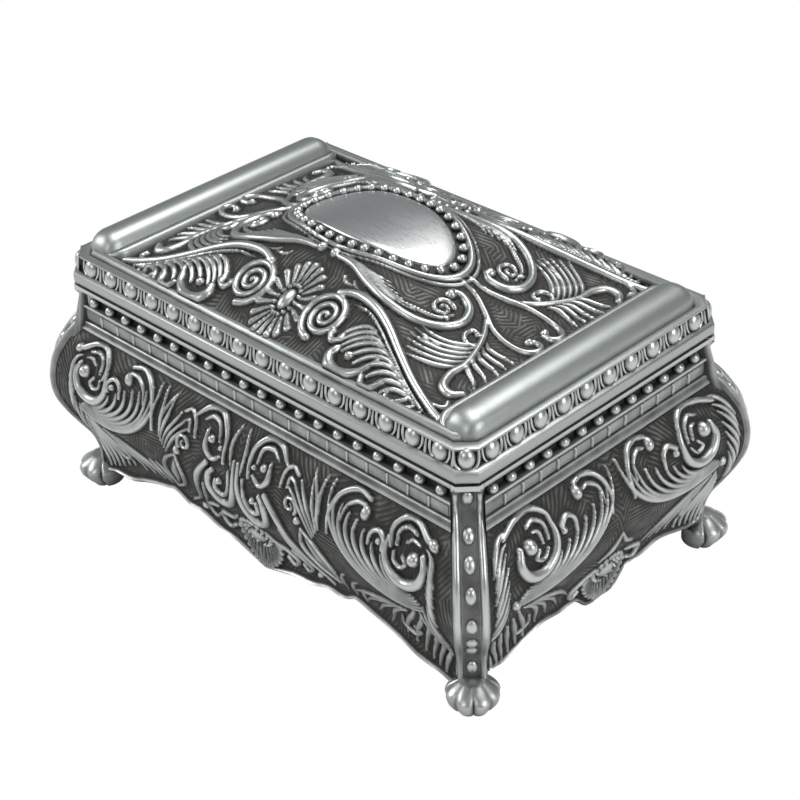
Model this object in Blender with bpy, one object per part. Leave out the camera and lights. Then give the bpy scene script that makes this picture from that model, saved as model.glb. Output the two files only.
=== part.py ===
"""Footed trinket box in cast pewter-finished metal: four bombe walls with scalloped aprons and cast scrolls,
between four corner posts on paw feet, a velvet lining, and a crowned lid on a three-and-two knuckle hinge.

Metres, +Z up. The box stands on z = 0, its long side runs along X and its hinge is at +Y.
"""
import math

import bmesh
import bpy
from mathutils import Matrix, Vector

MM = 0.001
ROOT_TWO = math.sqrt(2.0)
SMOOTH_ANGLE = math.radians(35.0)
QUARTER_TURN = math.radians(90.0)

# Rim: the widest outline of the lid, a rectangle with its corners cut off
RIM_LENGTH = 124.0 * MM
RIM_WIDTH = 78.4 * MM
RIM_CHAMFER = 3.2 * MM

# Clearances
SEAT_GAP = 0.3 * MM
OVERRUN = 3.0 * MM

# Body heights, from the joint down to the foot of the neck
BODY_HEIGHT = 54.25 * MM
LIP_HEIGHT = 1.2 * MM
CHANNEL_HEIGHT = 3.6 * MM
RAIL_HEIGHT = 0.75 * MM
DENTIL_HEIGHT = 3.3 * MM
FLARE_HEIGHT = 2.1 * MM
STEP_DRAFT = 0.1 * MM

# Body depths, in from the rim's plane, or out from it for the belly
LIP_OUT = 0.1 * MM
CHANNEL_IN = 1.6 * MM
RAIL_IN = 0.35 * MM
DENTIL_IN = 0.65 * MM
FLARE_IN = 0.2 * MM
FLARE_OUT = 0.5 * MM
BELLY_OUT = 6.3 * MM
WALL_THICKNESS = 2.0 * MM
NECK_THICKNESS = 3.3 * MM

# Bombe curve below the neck: share of the height, share of the belly
BELLY_SHARES = (
    (0.993, 0.14), (0.950, 0.42), (0.890, 0.65), (0.835, 0.82), (0.765, 0.94), (0.670, 1.0),
    (0.590, 0.94), (0.523, 0.795), (0.447, 0.56), (0.370, 0.30), (0.310, 0.11), (0.240, 0.03),
    (0.055, 0.04),
)

# Neck beads
BEADS_LONG = 20
BEADS_SHORT = 12
BEAD_RADIUS = 1.15 * MM
BEAD_SIDES = 5
BEAD_END_MARGIN = 2.6 * MM

# Scalloped aprons: share of the half length from the middle, share of the rise
APRON_RISE = 11.1 * MM
APRON_LONG_SHARES = (
    (0.0, 0.38), (0.05, 0.41), (0.096, 0.51), (0.13, 0.63), (0.175, 0.61), (0.245, 0.65),
    (0.315, 0.72), (0.385, 0.81), (0.455, 0.92), (0.505, 1.0), (0.55, 0.985), (0.593, 0.92),
    (0.663, 0.81), (0.733, 0.66), (0.803, 0.55), (0.873, 0.51), (0.925, 0.54), (0.96, 0.67),
    (1.0, 0.68),
)
APRON_SHORT_SHARES = (
    (0.0, 0.53), (0.08, 0.54), (0.16, 0.61), (0.22, 0.84), (0.28, 0.86), (0.36, 0.83),
    (0.44, 0.86), (0.51, 0.91), (0.57, 0.93), (0.63, 0.88), (0.70, 0.79), (0.80, 0.71),
    (0.87, 0.62), (0.925, 0.66), (1.0, 0.68),
)

# Corner posts: share of the body height, share of the belly, share of the width
POST_WIDTH = 7.2 * MM
POST_DEPTH = 3.6 * MM
POST_GROOVE = 0.9 * MM
POST_RAIL_ROUND = 0.3 * MM
POST_SHARES = (
    (1.0, 0.016, 0.89), (0.978, 0.016, 0.89), (0.966, -0.05, 0.89), (0.93, -0.10, 0.89),
    (0.87, -0.09, 0.89), (0.846, 0.02, 0.89), (0.793, 0.335, 0.90), (0.737, 0.595, 0.93),
    (0.682, 0.81, 0.95), (0.61, 0.955, 0.98), (0.53, 1.008, 1.0), (0.46, 0.935, 1.0),
    (0.387, 0.70, 0.98), (0.324, 0.43, 0.95), (0.262, 0.145, 0.91), (0.21, 0.03, 0.88),
    (0.07, 0.008, 0.86),
)
POST_LIP_LEVELS = 2
# Post cross-section: share of the half width, sunk by the rail's round, sunk by the groove
POST_SECTION_SHARES = (
    (-1.0, 1.0, 0.0), (-0.78, 0.0, 0.0), (-0.54, 1.0, 0.0), (-0.48, 0.0, 1.0),
    (0.48, 0.0, 1.0), (0.54, 1.0, 0.0), (0.78, 0.0, 0.0), (1.0, 1.0, 0.0),
)
# Beads in the post's groove: share of the body height, share of the bead's length
POST_BEAD_SHARES = ((0.848, 1.0), (0.761, 1.0), (0.65, 1.0), (0.512, 1.0), (0.18, 0.55))
POST_BEAD_LENGTH = 3.0 * MM
POST_BEAD_WIDTH = 2.1 * MM
POST_BEAD_RISE = 0.75 * MM

# Paw feet
FOOT_HEIGHT = 6.8 * MM
FOOT_WIDTH = 10.9 * MM
FOOT_FRONT = 5.6 * MM
FOOT_BACK = 4.6 * MM
FOOT_CENTRE_IN = 2.1 * MM
FOOT_TOES = 4
FOOT_TOE_SHARE = 0.09
FOOT_SECTION_POINTS = 20
# Paw rings: share of the height, share of the plan, shift inward as a share of the front
FOOT_RING_SHARES = (
    (0.0, 0.80, 0.18), (0.15, 0.93, 0.08), (0.5, 1.0, 0.0), (0.80, 0.86, 0.04), (1.0, 0.48, 0.18),
)

# Floor plate and velvet lining
FLOOR_LEVEL = 12.0 * MM
FLOOR_THICKNESS = 1.2 * MM
PAD_THICKNESS = 2.2 * MM
PAD_CROWN = 0.8 * MM
PAD_CROWN_SHARES = (0.5, 0.85, 1.0)
CARD_THICKNESS = 1.6 * MM
CARD_PUFF = 0.35 * MM
CARD_TOP_DROP = 1.3 * MM

# Lid heights and insets
LID_HEIGHT = 21.65 * MM
LID_RIM_HEIGHT = 9.4 * MM
LID_RIM_INSET = 3.0 * MM
LID_WALL = 2.0 * MM
LID_CAVITY_INSET = 3.9 * MM
# Rim moulding from the joint up: share of the rim's inset, share of the rim's height
LID_RIM_SHARES = (
    (0.20, 0.0), (0.0, 0.22), (0.03, 0.32), (0.30, 0.35), (1.0, 0.82), (0.82, 0.88), (0.82, 0.95),
    (0.94, 1.0),
)

# Crown of the lid
CROWN_RISE = 12.4 * MM
CROWN_RUN_INSET = 10.6 * MM
CROWN_END_INSET = 11.6 * MM
CROWN_INSET = 3.7 * MM
CROWN_SLOPE_RATIO = 0.52
CROWN_SAG = 2.6 * MM
CROWN_BLEND = 0.7 * MM
CROWN_COLUMNS = 15
CROWN_ROWS = 10
CAVITY_COLUMNS = 10
CAVITY_ROWS = 6

# Half-round rolls at the two ends of the lid, and the thin rail inside each
ROLL_HALF_WIDTH = 4.4 * MM
ROLL_RISE = 4.7 * MM
ROLL_INSET = 7.3 * MM
ROLL_END_INSET = 4.4 * MM
ROLL_SUNK_SHARE = 0.25
ROLL_POINTS = 12
END_RAIL_POINTS = 6
ROLL_END_SHARES = (0.0, 0.25, 0.5, 0.75)
END_RAIL_HALF_WIDTH = 1.0 * MM
END_RAIL_RISE = 1.3 * MM
END_RAIL_INSET = 12.9 * MM

# Egg-and-dart: one egg on each cut corner as well
EGGS_LONG = 16
EGGS_SHORT = 10
EGG_HALF_WIDTH = 1.95 * MM
EGG_HALF_HEIGHT = 2.35 * MM
EGG_RISE = 1.15 * MM
EGG_LEVEL_SHARE = 0.60
EGG_INSET_SHARE = 0.66
EGG_LEAN = math.radians(26.0)
EGG_END_MARGIN = 5.2 * MM
EGG_SIDES = 6

# Oval cartouche
PLATE_HALF_LENGTH = 20.4 * MM
PLATE_HALF_WIDTH = 10.3 * MM
PLATE_THICKNESS = 1.0 * MM
PLATE_PROUD = 0.25 * MM
PLATE_SEGMENTS = 24
PLATE_RING_SHARES = (0.94, 0.5)
OVAL_BEADS = 33
OVAL_BEAD_RADIUS = 1.0 * MM
OVAL_BEAD_OUT = 1.6 * MM
OVAL_FINE_STEPS = 24

# Main scrolls of the cast relief, as bars that ride on a face, and the flowers between them
SCROLL_HALF_WIDTH = 1.1 * MM
LID_SCROLL_HALF_WIDTH = 0.9 * MM
SCROLL_RISE = 1.0 * MM
SCROLL_SUNK = 0.9 * MM
SCROLL_TIP_SHARE = 0.4
SCROLL_STEPS = 2
VOLUTE_RADIUS = 4.6 * MM
VOLUTE_EYE_SHARE = 0.3
VOLUTE_TURNS = 1.25
VOLUTE_STEPS = 8
DAISY_HALF_WIDTH = 6.2 * MM
DAISY_HALF_HEIGHT = 8.6 * MM
DAISY_PETALS = 8
DAISY_CREASE_SHARE = 0.86
# Flower rings from its buried foot up: share of the plan, share of the scroll's rise on a petal and in a crease
DAISY_RING_SHARES = (
    (0.2, -1.2, -1.2), (0.6, -1.2, -1.2), (1.0, -0.8, -0.8), (0.9, 0.8, 0.45), (0.35, 0.75, 0.6),
    (0.2, 1.5, 1.5),
)
# Stem of one quarter of the lid: share of the way from the volute's eye to the crown's end, share
# of the crown's half width
LID_DAISY_SHARE = 0.75
LID_STEM_SHARES = ((0.90, 0.89), (0.60, 0.77), (0.32, 0.62), (0.13, 0.58))
# Other scrolls of a quarter of the lid: share of the crown's half length, share of its half width
LID_OVAL_STEM_SHARES = ((0.075, 0.42), (0.40, 0.51), (0.56, 0.46), (0.645, 0.29), (0.56, 0.12))
LID_BRANCH_SHARES = ((0.67, 0.09), (0.77, 0.31), (0.812, 0.60), (0.87, 0.71), (0.91, 0.66))
# Scrolls of one half of a wall: share of the side's half length, share of the neck's height
WALL_DAISY_LEVEL_SHARE = 0.335
WALL_LONG_SCROLL_SHARES = (
    ((0.735, 0.90), (0.73, 0.75), (0.80, 0.70), (0.875, 0.77), (0.86, 0.865)),
    ((0.895, 0.63), (0.75, 0.50), (0.57, 0.50), (0.455, 0.64), (0.49, 0.93)),
)
WALL_SHORT_SCROLL_SHARES = (
    ((0.525, 0.90), (0.54, 0.75), (0.66, 0.70), (0.765, 0.78), (0.74, 0.865)),
    ((0.83, 0.64), (0.62, 0.57), (0.30, 0.59), (0.08, 0.71), (0.09, 0.88)),
)

# Hinge
HINGE_LENGTH = 34.0 * MM
HINGE_KNUCKLES = 5
HINGE_RADIUS = 1.6 * MM
HINGE_BORE_RADIUS = 1.15 * MM
HINGE_PIN_RADIUS = 0.85 * MM
HINGE_OUT = 2.0 * MM
HINGE_HEAD_RADIUS = 1.25 * MM
HINGE_HEAD_LENGTH = 0.6 * MM
LEAF_THICKNESS = 0.8 * MM
LEAF_REACH = 5.0 * MM
HINGE_SEGMENTS = 12

# Values worked out from the sizes above
HALF_LENGTH = RIM_LENGTH / 2
HALF_WIDTH = RIM_WIDTH / 2
CROWN_RUN = HALF_LENGTH - CROWN_RUN_INSET
CROWN_HALF_LENGTH = HALF_LENGTH - CROWN_END_INSET
CROWN_HALF_WIDTH = HALF_WIDTH - CROWN_INSET
LIP_BOTTOM = BODY_HEIGHT - LIP_HEIGHT
CHANNEL_BOTTOM = LIP_BOTTOM - CHANNEL_HEIGHT
RAIL_BOTTOM = CHANNEL_BOTTOM - RAIL_HEIGHT
DENTIL_BOTTOM = RAIL_BOTTOM - DENTIL_HEIGHT
NECK_BOTTOM = DENTIL_BOTTOM - FLARE_HEIGHT
CHAMFER_FACE = RIM_CHAMFER / ROOT_TWO
LID_BASE = BODY_HEIGHT + SEAT_GAP
LID_TOP = LID_BASE + LID_HEIGHT
LEDGE_LEVEL = LID_BASE + LID_RIM_HEIGHT
FLOOR_TOP = FLOOR_LEVEL + FLOOR_THICKNESS
PAD_BASE = FLOOR_TOP + SEAT_GAP
CARD_BASE = PAD_BASE + PAD_THICKNESS + PAD_CROWN + SEAT_GAP
CARD_TOP = BODY_HEIGHT - CARD_TOP_DROP
HINGE_AXIS_Y = HALF_WIDTH + HINGE_OUT
HINGE_AXIS_Z = (BODY_HEIGHT + LID_BASE) / 2


def clear_scene():
    """Remove every object that the new file starts with."""
    for obj in list(bpy.data.objects):
        bpy.data.objects.remove(obj, do_unlink=True)


def make_material(name, colour, metallic, roughness):
    """Make a Principled material with one colour."""
    material = bpy.data.materials.new(name)
    material.use_nodes = True
    shader = material.node_tree.nodes["Principled BSDF"]
    shader.inputs["Base Color"].default_value = (*colour, 1.0)
    shader.inputs["Metallic"].default_value = metallic
    shader.inputs["Roughness"].default_value = roughness
    material.diffuse_color = (*colour, 1.0)
    return material


def finish_mesh(name, bm, material, parent=None):
    """Turn a bmesh into an object with outward faces and smooth round surfaces."""
    bmesh.ops.recalc_face_normals(bm, faces=bm.faces)
    mesh = bpy.data.meshes.new(name)
    bm.to_mesh(mesh)
    bm.free()
    mesh.shade_smooth()
    mesh.set_sharp_from_angle(angle=SMOOTH_ANGLE)
    obj = bpy.data.objects.new(name, mesh)
    bpy.context.collection.objects.link(obj)
    obj.data.materials.append(material)
    if parent:
        obj.parent = parent
        obj.matrix_parent_inverse = parent.matrix_world.inverted()
    return obj


def combine(target, operand, operation):
    """Join, cut or keep the target with the operand, which the finished part leaves out."""
    operand.hide_render = True
    operand.display_type = "WIRE"
    modifier = target.modifiers.new(operand.name, "BOOLEAN")
    modifier.operation = operation
    modifier.solver = "EXACT"
    modifier.object = operand


def add_loft(bm, rings, caps=True):
    """Bridge closed rings that have the same number of points, and close both ends."""
    rows = [[bm.verts.new(point) for point in ring] for ring in rings]
    count = len(rows[0])
    for lower, upper in zip(rows, rows[1:]):
        for i in range(count):
            j = (i + 1) % count
            bm.faces.new((lower[i], lower[j], upper[j], upper[i]))
    if caps:
        bm.faces.new(list(reversed(rows[0])))
        bm.faces.new(rows[-1])
    return rows


def loft_object(name, rings, material, parent=None):
    """One closed solid lofted through rings."""
    bm = bmesh.new()
    add_loft(bm, rings)
    return finish_mesh(name, bm, material, parent)


def block(name, low, high, material):
    """A rectangular cutter between two corners."""
    corners = [(low.x, low.y), (high.x, low.y), (high.x, high.y), (low.x, high.y)]
    rings = [[Vector((x, y, z)) for x, y in corners] for z in (low.z, high.z)]
    return loft_object(name, rings, material)


def add_ellipsoid(bm, matrix, sides=BEAD_SIDES):
    """A rounded bead: the unit sphere placed and scaled by a matrix."""
    bmesh.ops.create_uvsphere(bm, u_segments=sides, v_segments=3, radius=1.0, matrix=matrix)


def frame_matrix(centre, side, up, out, sizes):
    """Matrix that carries the unit sphere's axes to side, up and out, each with its own size."""
    matrix = Matrix.Identity(4)
    for column, (axis, size) in enumerate(zip((side, up, out), sizes)):
        for row in range(3):
            matrix[row][column] = axis[row] * size
    for row in range(3):
        matrix[row][3] = centre[row]
    return matrix


def interpolate(table, value, column):
    """Read a column of a falling table of shares at a height share."""
    if value >= table[0][0]:
        return table[0][column]
    for upper, lower in zip(table, table[1:]):
        if value >= lower[0]:
            part = (value - lower[0]) / (upper[0] - lower[0])
            return lower[column] + part * (upper[column] - lower[column])
    return table[-1][column]


def post_width(z):
    """Width of the corner posts at a height."""
    return POST_WIDTH * interpolate(POST_SHARES, z / BODY_HEIGHT, 2)


def post_out(z):
    """How far the post's rails stand out beyond the rim at a height."""
    return BELLY_OUT * interpolate(POST_SHARES, z / BODY_HEIGHT, 1)


def wall_profile():
    """Pairs of outer and inner offsets from the rim's plane with their height, top to bottom."""
    neck = [
        (LIP_OUT, BODY_HEIGHT), (LIP_OUT, LIP_BOTTOM),
        (-CHANNEL_IN, LIP_BOTTOM - STEP_DRAFT), (-CHANNEL_IN, CHANNEL_BOTTOM + STEP_DRAFT),
        (-RAIL_IN, CHANNEL_BOTTOM), (-RAIL_IN, RAIL_BOTTOM),
        (-DENTIL_IN, RAIL_BOTTOM - STEP_DRAFT), (-DENTIL_IN, DENTIL_BOTTOM + STEP_DRAFT),
        (-FLARE_IN, DENTIL_BOTTOM), (FLARE_OUT, NECK_BOTTOM + STEP_DRAFT), (0.0, NECK_BOTTOM),
    ]
    pairs = [(out, -NECK_THICKNESS, z) for out, z in neck[:-2]]
    pairs += [(out, out - WALL_THICKNESS, z) for out, z in neck[-2:]]
    for height_share, belly_share in BELLY_SHARES:
        out = BELLY_OUT * belly_share
        pairs.append((out, out - WALL_THICKNESS, NECK_BOTTOM * height_share))
    return pairs


def wall_end(half, out, z):
    """Where a wall ends against the side of the post, for a point that stands out by `out`."""
    return half + out - (post_width(z) / 2 + SEAT_GAP) * ROOT_TWO


def place_on_side(side, along, out, z):
    """World point from a place along one side, a distance out from the rim's plane, and a height.

    Sides are numbered 0 front, 1 right, 2 back, 3 left.
    """
    depth = (HALF_WIDTH if side % 2 == 0 else HALF_LENGTH) + out
    turn = Matrix.Rotation(QUARTER_TURN * side, 3, "Z")
    return turn @ Vector((along, -depth, z))


def side_half(side):
    """Half the length of a side's rim."""
    return HALF_LENGTH if side % 2 == 0 else HALF_WIDTH


def spread(count, half):
    """Evenly spaced places from -half to +half."""
    return [-half + 2 * half * i / (count - 1) for i in range(count)]


def face_frame(place, u, v):
    """Point and outward normal of a face that a function places from two lengths."""
    step = SCROLL_HALF_WIDTH * 2
    along = place(u + step, v) - place(u - step, v)
    across = place(u, v + step) - place(u, v - step)
    return place(u, v), along.cross(across).normalized()


def add_scroll(bm, place, path, half_width):
    """A crested bar along a path on a face, tapered at both ends."""
    rings = []
    for i, (u, v) in enumerate(path):
        point, normal = face_frame(place, u, v)
        before = place(*path[max(i - 1, 0)])
        after = place(*path[min(i + 1, len(path) - 1)])
        side = normal.cross(after - before).normalized()
        width = half_width * (SCROLL_TIP_SHARE if i in (0, len(path) - 1) else 1.0)
        foot = point - normal * SCROLL_SUNK
        rings.append([foot - side * width, point + normal * SCROLL_RISE, foot + side * width])
    add_loft(bm, rings)


def add_daisy(bm, place, centre_u, centre_v):
    """A flower on a face: creased petals round a raised boss."""
    rings = []
    for plan_share, petal_share, crease_share in DAISY_RING_SHARES:
        ring = []
        for i in range(2 * DAISY_PETALS):
            angle = math.pi * i / DAISY_PETALS
            petal = i % 2 == 0
            reach = plan_share * (1.0 if petal else DAISY_CREASE_SHARE)
            u = centre_u + DAISY_HALF_WIDTH * reach * math.cos(angle)
            v = centre_v + DAISY_HALF_HEIGHT * reach * math.sin(angle)
            point, normal = face_frame(place, u, v)
            ring.append(point + normal * SCROLL_RISE * (petal_share if petal else crease_share))
        rings.append(ring)
    add_loft(bm, rings)


def volute_path(centre_u, centre_v):
    """A spiral that winds in, starting on the side that faces the middle of the face."""
    path = []
    for i in range(VOLUTE_STEPS + 1):
        share = i / VOLUTE_STEPS
        angle = -QUARTER_TURN - 2 * math.pi * VOLUTE_TURNS * share
        radius = VOLUTE_RADIUS * (1.0 - (1.0 - VOLUTE_EYE_SHARE) * share)
        path.append((centre_u + radius * math.cos(angle), centre_v + radius * math.sin(angle)))
    return path


def smooth_path(points):
    """Catmull-Rom curve through the points of a path."""
    first, last = Vector(points[0]), Vector(points[-1])
    padded = [2 * first - Vector(points[1])] + [Vector(p) for p in points] + [2 * last - Vector(points[-2])]
    path = []
    for a, b, c, d in zip(padded, padded[1:], padded[2:], padded[3:]):
        for step in range(SCROLL_STEPS):
            t = step / SCROLL_STEPS
            path.append(b + (c - a) * t / 2 + (a - b * 5 / 2 + c * 2 - d / 2) * t * t
                        + (b * 3 - a - c * 3 + d) * t ** 3 / 2)
    return [tuple(point) for point in path] + [tuple(last)]


def scale_shares(shares, size_u, size_v):
    """Turn a path in shares into lengths."""
    return [(u * size_u, v * size_v) for u, v in shares]


def mirror_path(path, sign_u, sign_v):
    """A path mirrored about the middle of a face."""
    return [(u * sign_u, v * sign_v) for u, v in path]


def wall_relief(name, side, table, material):
    """The main scrolls and the flower of a wall, mirrored about its middle."""
    def place(along, z):
        return place_on_side(side, along, wall_inner_offset(z) + WALL_THICKNESS, z)

    bm = bmesh.new()
    for shares in table:
        path = smooth_path(scale_shares(shares, side_half(side), NECK_BOTTOM))
        for sign in (-1, 1):
            add_scroll(bm, place, mirror_path(path, sign, 1), SCROLL_HALF_WIDTH)
    add_daisy(bm, place, 0.0, NECK_BOTTOM * WALL_DAISY_LEVEL_SHARE)
    return finish_mesh(name, bm, material)


def apron_cutter(name, side, table, material):
    """Everything below the scalloped lower edge of a wall."""
    half = wall_end(side_half(side), LIP_OUT, 0.0) + BELLY_OUT
    span = wall_end(side_half(side), LIP_OUT, APRON_RISE / 2)
    edge = [(span * share, APRON_RISE * rise) for share, rise in table]
    edge.append((half, edge[-1][1]))
    outline = [(-x, z) for x, z in reversed(edge[1:])] + edge
    outline += [(half, -OVERRUN), (-half, -OVERRUN)]
    depths = (-NECK_THICKNESS - WALL_THICKNESS - OVERRUN, BELLY_OUT + OVERRUN)
    rings = [[place_on_side(side, x, out, z) for x, z in outline] for out in depths]
    return loft_object(name, rings, material)


def neck_beads(name, side, count, material):
    """The row of beads in the neck's channel."""
    bm = bmesh.new()
    half = wall_end(side_half(side), -CHANNEL_IN, CHANNEL_BOTTOM) - BEAD_END_MARGIN
    level = (LIP_BOTTOM + CHANNEL_BOTTOM) / 2
    for along in spread(count, half):
        centre = place_on_side(side, along, -CHANNEL_IN + BEAD_RADIUS / 2, level)
        add_ellipsoid(bm, Matrix.Translation(centre) @ Matrix.Diagonal((BEAD_RADIUS,) * 3 + (1.0,)))
    return finish_mesh(name, bm, material)


def make_wall(name, side, apron_table, scroll_table, bead_count, material):
    """One cast wall: neck mouldings, bombe panel and scalloped apron, mitred to the posts."""
    pairs = wall_profile()
    half = side_half(side)
    rings = []
    for sign in (-1.0, 1.0):
        outer = [(sign * wall_end(half, out, z), out, z) for out, inner, z in pairs]
        inside = [(sign * wall_end(half, inner, z), inner, z) for out, inner, z in pairs]
        rings.append([place_on_side(side, *point) for point in outer + inside[::-1]])
    bm = bmesh.new()
    first, last = add_loft(bm, rings, caps=False)
    count = len(first)
    for ring in (first, last):
        for i in range(len(pairs) - 1):
            bm.faces.new((ring[i], ring[i + 1], ring[count - 2 - i], ring[count - 1 - i]))
    wall = finish_mesh(name, bm, material)
    combine(wall, wall_relief(name + "_relief", side, scroll_table, material), "UNION")
    combine(wall, apron_cutter(name + "_apron_cut", side, apron_table, material), "DIFFERENCE")
    combine(wall, neck_beads(name + "_neck_beads", side, bead_count, material), "UNION")
    return wall


def corner_point(sign_x, sign_y, across, outward, z):
    """World point in a corner's own frame: across the corner, and outward along its diagonal."""
    x = HALF_LENGTH + (outward + across) / ROOT_TWO
    y = HALF_WIDTH + (outward - across) / ROOT_TWO
    return Vector((sign_x * x, sign_y * y, z))


def post_ring(sign_x, sign_y, level):
    """Cross-section of a post at one row of its table: two rounded rails and the groove."""
    height_share, out_share, width_share = POST_SHARES[level]
    face = BELLY_OUT * out_share * ROOT_TWO - CHAMFER_FACE
    half = POST_WIDTH * width_share / 2
    z = BODY_HEIGHT * height_share
    ring = []
    for across_share, rounded, grooved in POST_SECTION_SHARES:
        across = half * across_share
        if level < POST_LIP_LEVELS:
            outward = face + CHAMFER_FACE - max(CHAMFER_FACE, abs(across))
        else:
            outward = face - POST_RAIL_ROUND * rounded - POST_GROOVE * grooved
        ring.append(corner_point(sign_x, sign_y, across, outward, z))
    for across in (half, -half):
        ring.append(corner_point(sign_x, sign_y, across, face - POST_DEPTH, z))
    return ring


def paw_ring(sign_x, sign_y, height_share, plan_share, shift_share):
    """Plan outline of the paw at one height, with toes round its front."""
    ring = []
    for i in range(FOOT_SECTION_POINTS):
        angle = 2 * math.pi * i / FOOT_SECTION_POINTS
        across = math.sin(angle) * FOOT_WIDTH / 2
        forward = math.cos(angle)
        reach = FOOT_FRONT if forward > 0 else FOOT_BACK
        toe = abs(math.sin(FOOT_TOES * angle)) if forward > 0 else 1.0
        size = plan_share * (1.0 - FOOT_TOE_SHARE * (1.0 - toe))
        outward = -FOOT_CENTRE_IN - FOOT_FRONT * shift_share + forward * reach * size
        ring.append(corner_point(sign_x, sign_y, across * size, outward, FOOT_HEIGHT * height_share))
    return ring


def post_beads(name, sign_x, sign_y, material):
    """Oval beads that stand in the post's groove and follow its curve."""
    bm = bmesh.new()
    step = POST_BEAD_LENGTH / 2
    groove_in = CHAMFER_FACE + POST_GROOVE
    out_axis = Vector((sign_x, sign_y, 0.0)).normalized()
    side_axis = Vector((-sign_y, sign_x, 0.0)).normalized()
    for height_share, length_share in POST_BEAD_SHARES:
        z = BODY_HEIGHT * height_share
        above, centre, below = [
            corner_point(sign_x, sign_y, 0.0, post_out(level) * ROOT_TWO - groove_in, level)
            for level in (z + step, z, z - step)
        ]
        up = (above - below).normalized()
        normal = (out_axis - up * out_axis.dot(up)).normalized()
        sizes = (POST_BEAD_WIDTH / 2, POST_BEAD_LENGTH * length_share / 2, POST_BEAD_RISE)
        add_ellipsoid(bm, frame_matrix(centre, side_axis, up, normal, sizes))
    return finish_mesh(name, bm, material)


def make_post(name, sign_x, sign_y, material):
    """A corner post with two rails and a beaded groove, standing on its paw foot."""
    rings = [post_ring(sign_x, sign_y, level) for level in range(len(POST_SHARES))]
    post = loft_object(name, rings, material)
    paw_rings = [paw_ring(sign_x, sign_y, *row) for row in FOOT_RING_SHARES]
    combine(post, loft_object(name + "_paw", paw_rings, material), "UNION")
    combine(post, post_beads(name + "_beads", sign_x, sign_y, material), "UNION")
    return post


def chamfered_outline(half_x, half_y, chamfer):
    """Plan of a rectangle with its corners cut off, anticlockwise."""
    corners = []
    for sign_x, sign_y in ((1, -1), (1, 1), (-1, 1), (-1, -1)):
        long_first = sign_x * sign_y < 0
        a = (sign_x * (half_x - chamfer), sign_y * half_y)
        b = (sign_x * half_x, sign_y * (half_y - chamfer))
        corners += [a, b] if long_first else [b, a]
    return corners


def wall_inner_offset(z):
    """Offset of the wall's inner face from the rim's plane, at a height below the neck."""
    return BELLY_OUT * interpolate(BELLY_SHARES, z / NECK_BOTTOM, 1) - WALL_THICKNESS


def post_back_offset(z):
    """How far the back of a post lies along the diagonal from the rim's uncut corner."""
    return post_out(z) * ROOT_TWO - CHAMFER_FACE - POST_DEPTH


def clear_chamfer(half_x, half_y, z):
    """Corner cut that keeps a plate inside the walls clear of the posts."""
    diagonal = (post_back_offset(z) - SEAT_GAP) * ROOT_TWO
    return half_x + half_y - (HALF_LENGTH + HALF_WIDTH + diagonal)


def make_floor(material):
    """The plate that closes the body between walls and posts."""
    inset = wall_inner_offset(FLOOR_LEVEL) - SEAT_GAP
    half_x = HALF_LENGTH + inset
    half_y = HALF_WIDTH + inset
    chamfer = clear_chamfer(half_x, half_y, FLOOR_LEVEL)
    outline = chamfered_outline(half_x, half_y, chamfer)
    rings = [[Vector((x, y, z)) for x, y in outline] for z in (FLOOR_LEVEL, FLOOR_TOP)]
    return loft_object("floor_plate", rings, material)


def make_floor_pad(material):
    """The velvet pad on the floor, with a soft crown and rounded edges."""
    inset = wall_inner_offset(PAD_BASE) - SEAT_GAP
    half_x = HALF_LENGTH + inset
    half_y = HALF_WIDTH + inset
    edge = PAD_THICKNESS / 2
    crown_levels = ((edge, 0.0), (0.0, edge / 2), (0.0, edge), (edge / 2, PAD_THICKNESS))
    rings = []
    for shrink, rise in crown_levels:
        chamfer = clear_chamfer(half_x - shrink, half_y - shrink, PAD_BASE)
        outline = chamfered_outline(half_x - shrink, half_y - shrink, chamfer)
        rings.append([Vector((x, y, PAD_BASE + rise)) for x, y in outline])
    for share in PAD_CROWN_SHARES:
        shrink = edge + (half_y / 2) * share
        outline = chamfered_outline(half_x - shrink, half_y - shrink, RIM_CHAMFER)
        level = PAD_BASE + PAD_THICKNESS + PAD_CROWN * math.sin(share * math.pi / 2)
        rings.append([Vector((x, y, level)) for x, y in outline])
    return loft_object("lining_floor_pad", rings, material)


def make_card(name, side, material):
    """A velvet-covered card that stands inside the neck, puffed towards the middle."""
    outer = -NECK_THICKNESS - SEAT_GAP
    inner = outer - CARD_THICKNESS
    corner = (post_back_offset(LIP_BOTTOM - CHANNEL_HEIGHT / 2) - SEAT_GAP) * ROOT_TWO
    half_outer = side_half(side) + corner - outer
    half_inner = side_half(side) + inner - SEAT_GAP / 2
    if side % 2 == 1:
        half_inner -= SEAT_GAP
    edge = CARD_THICKNESS / 2
    rings = []
    for share, inset in ((0.0, edge), (0.5, 0.0), (1.0, edge / 2)):
        half = half_outer + (half_inner - half_outer) * share - inset / 2
        out = outer + (inner - outer) * share
        low = CARD_BASE + inset / 2
        high = CARD_TOP - inset / 2
        outline = ((-half, low), (half, low), (half, high), (-half, high))
        rings.append([place_on_side(side, x, out, z) for x, z in outline])
    margin = CARD_THICKNESS * 2
    outline = (
        (-half_inner + margin, CARD_BASE + margin), (half_inner - margin, CARD_BASE + margin),
        (half_inner - margin, CARD_TOP - margin), (-half_inner + margin, CARD_TOP - margin),
    )
    rings.append([place_on_side(side, x, inner - CARD_PUFF, z) for x, z in outline])
    return loft_object(name, rings, material)


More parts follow.
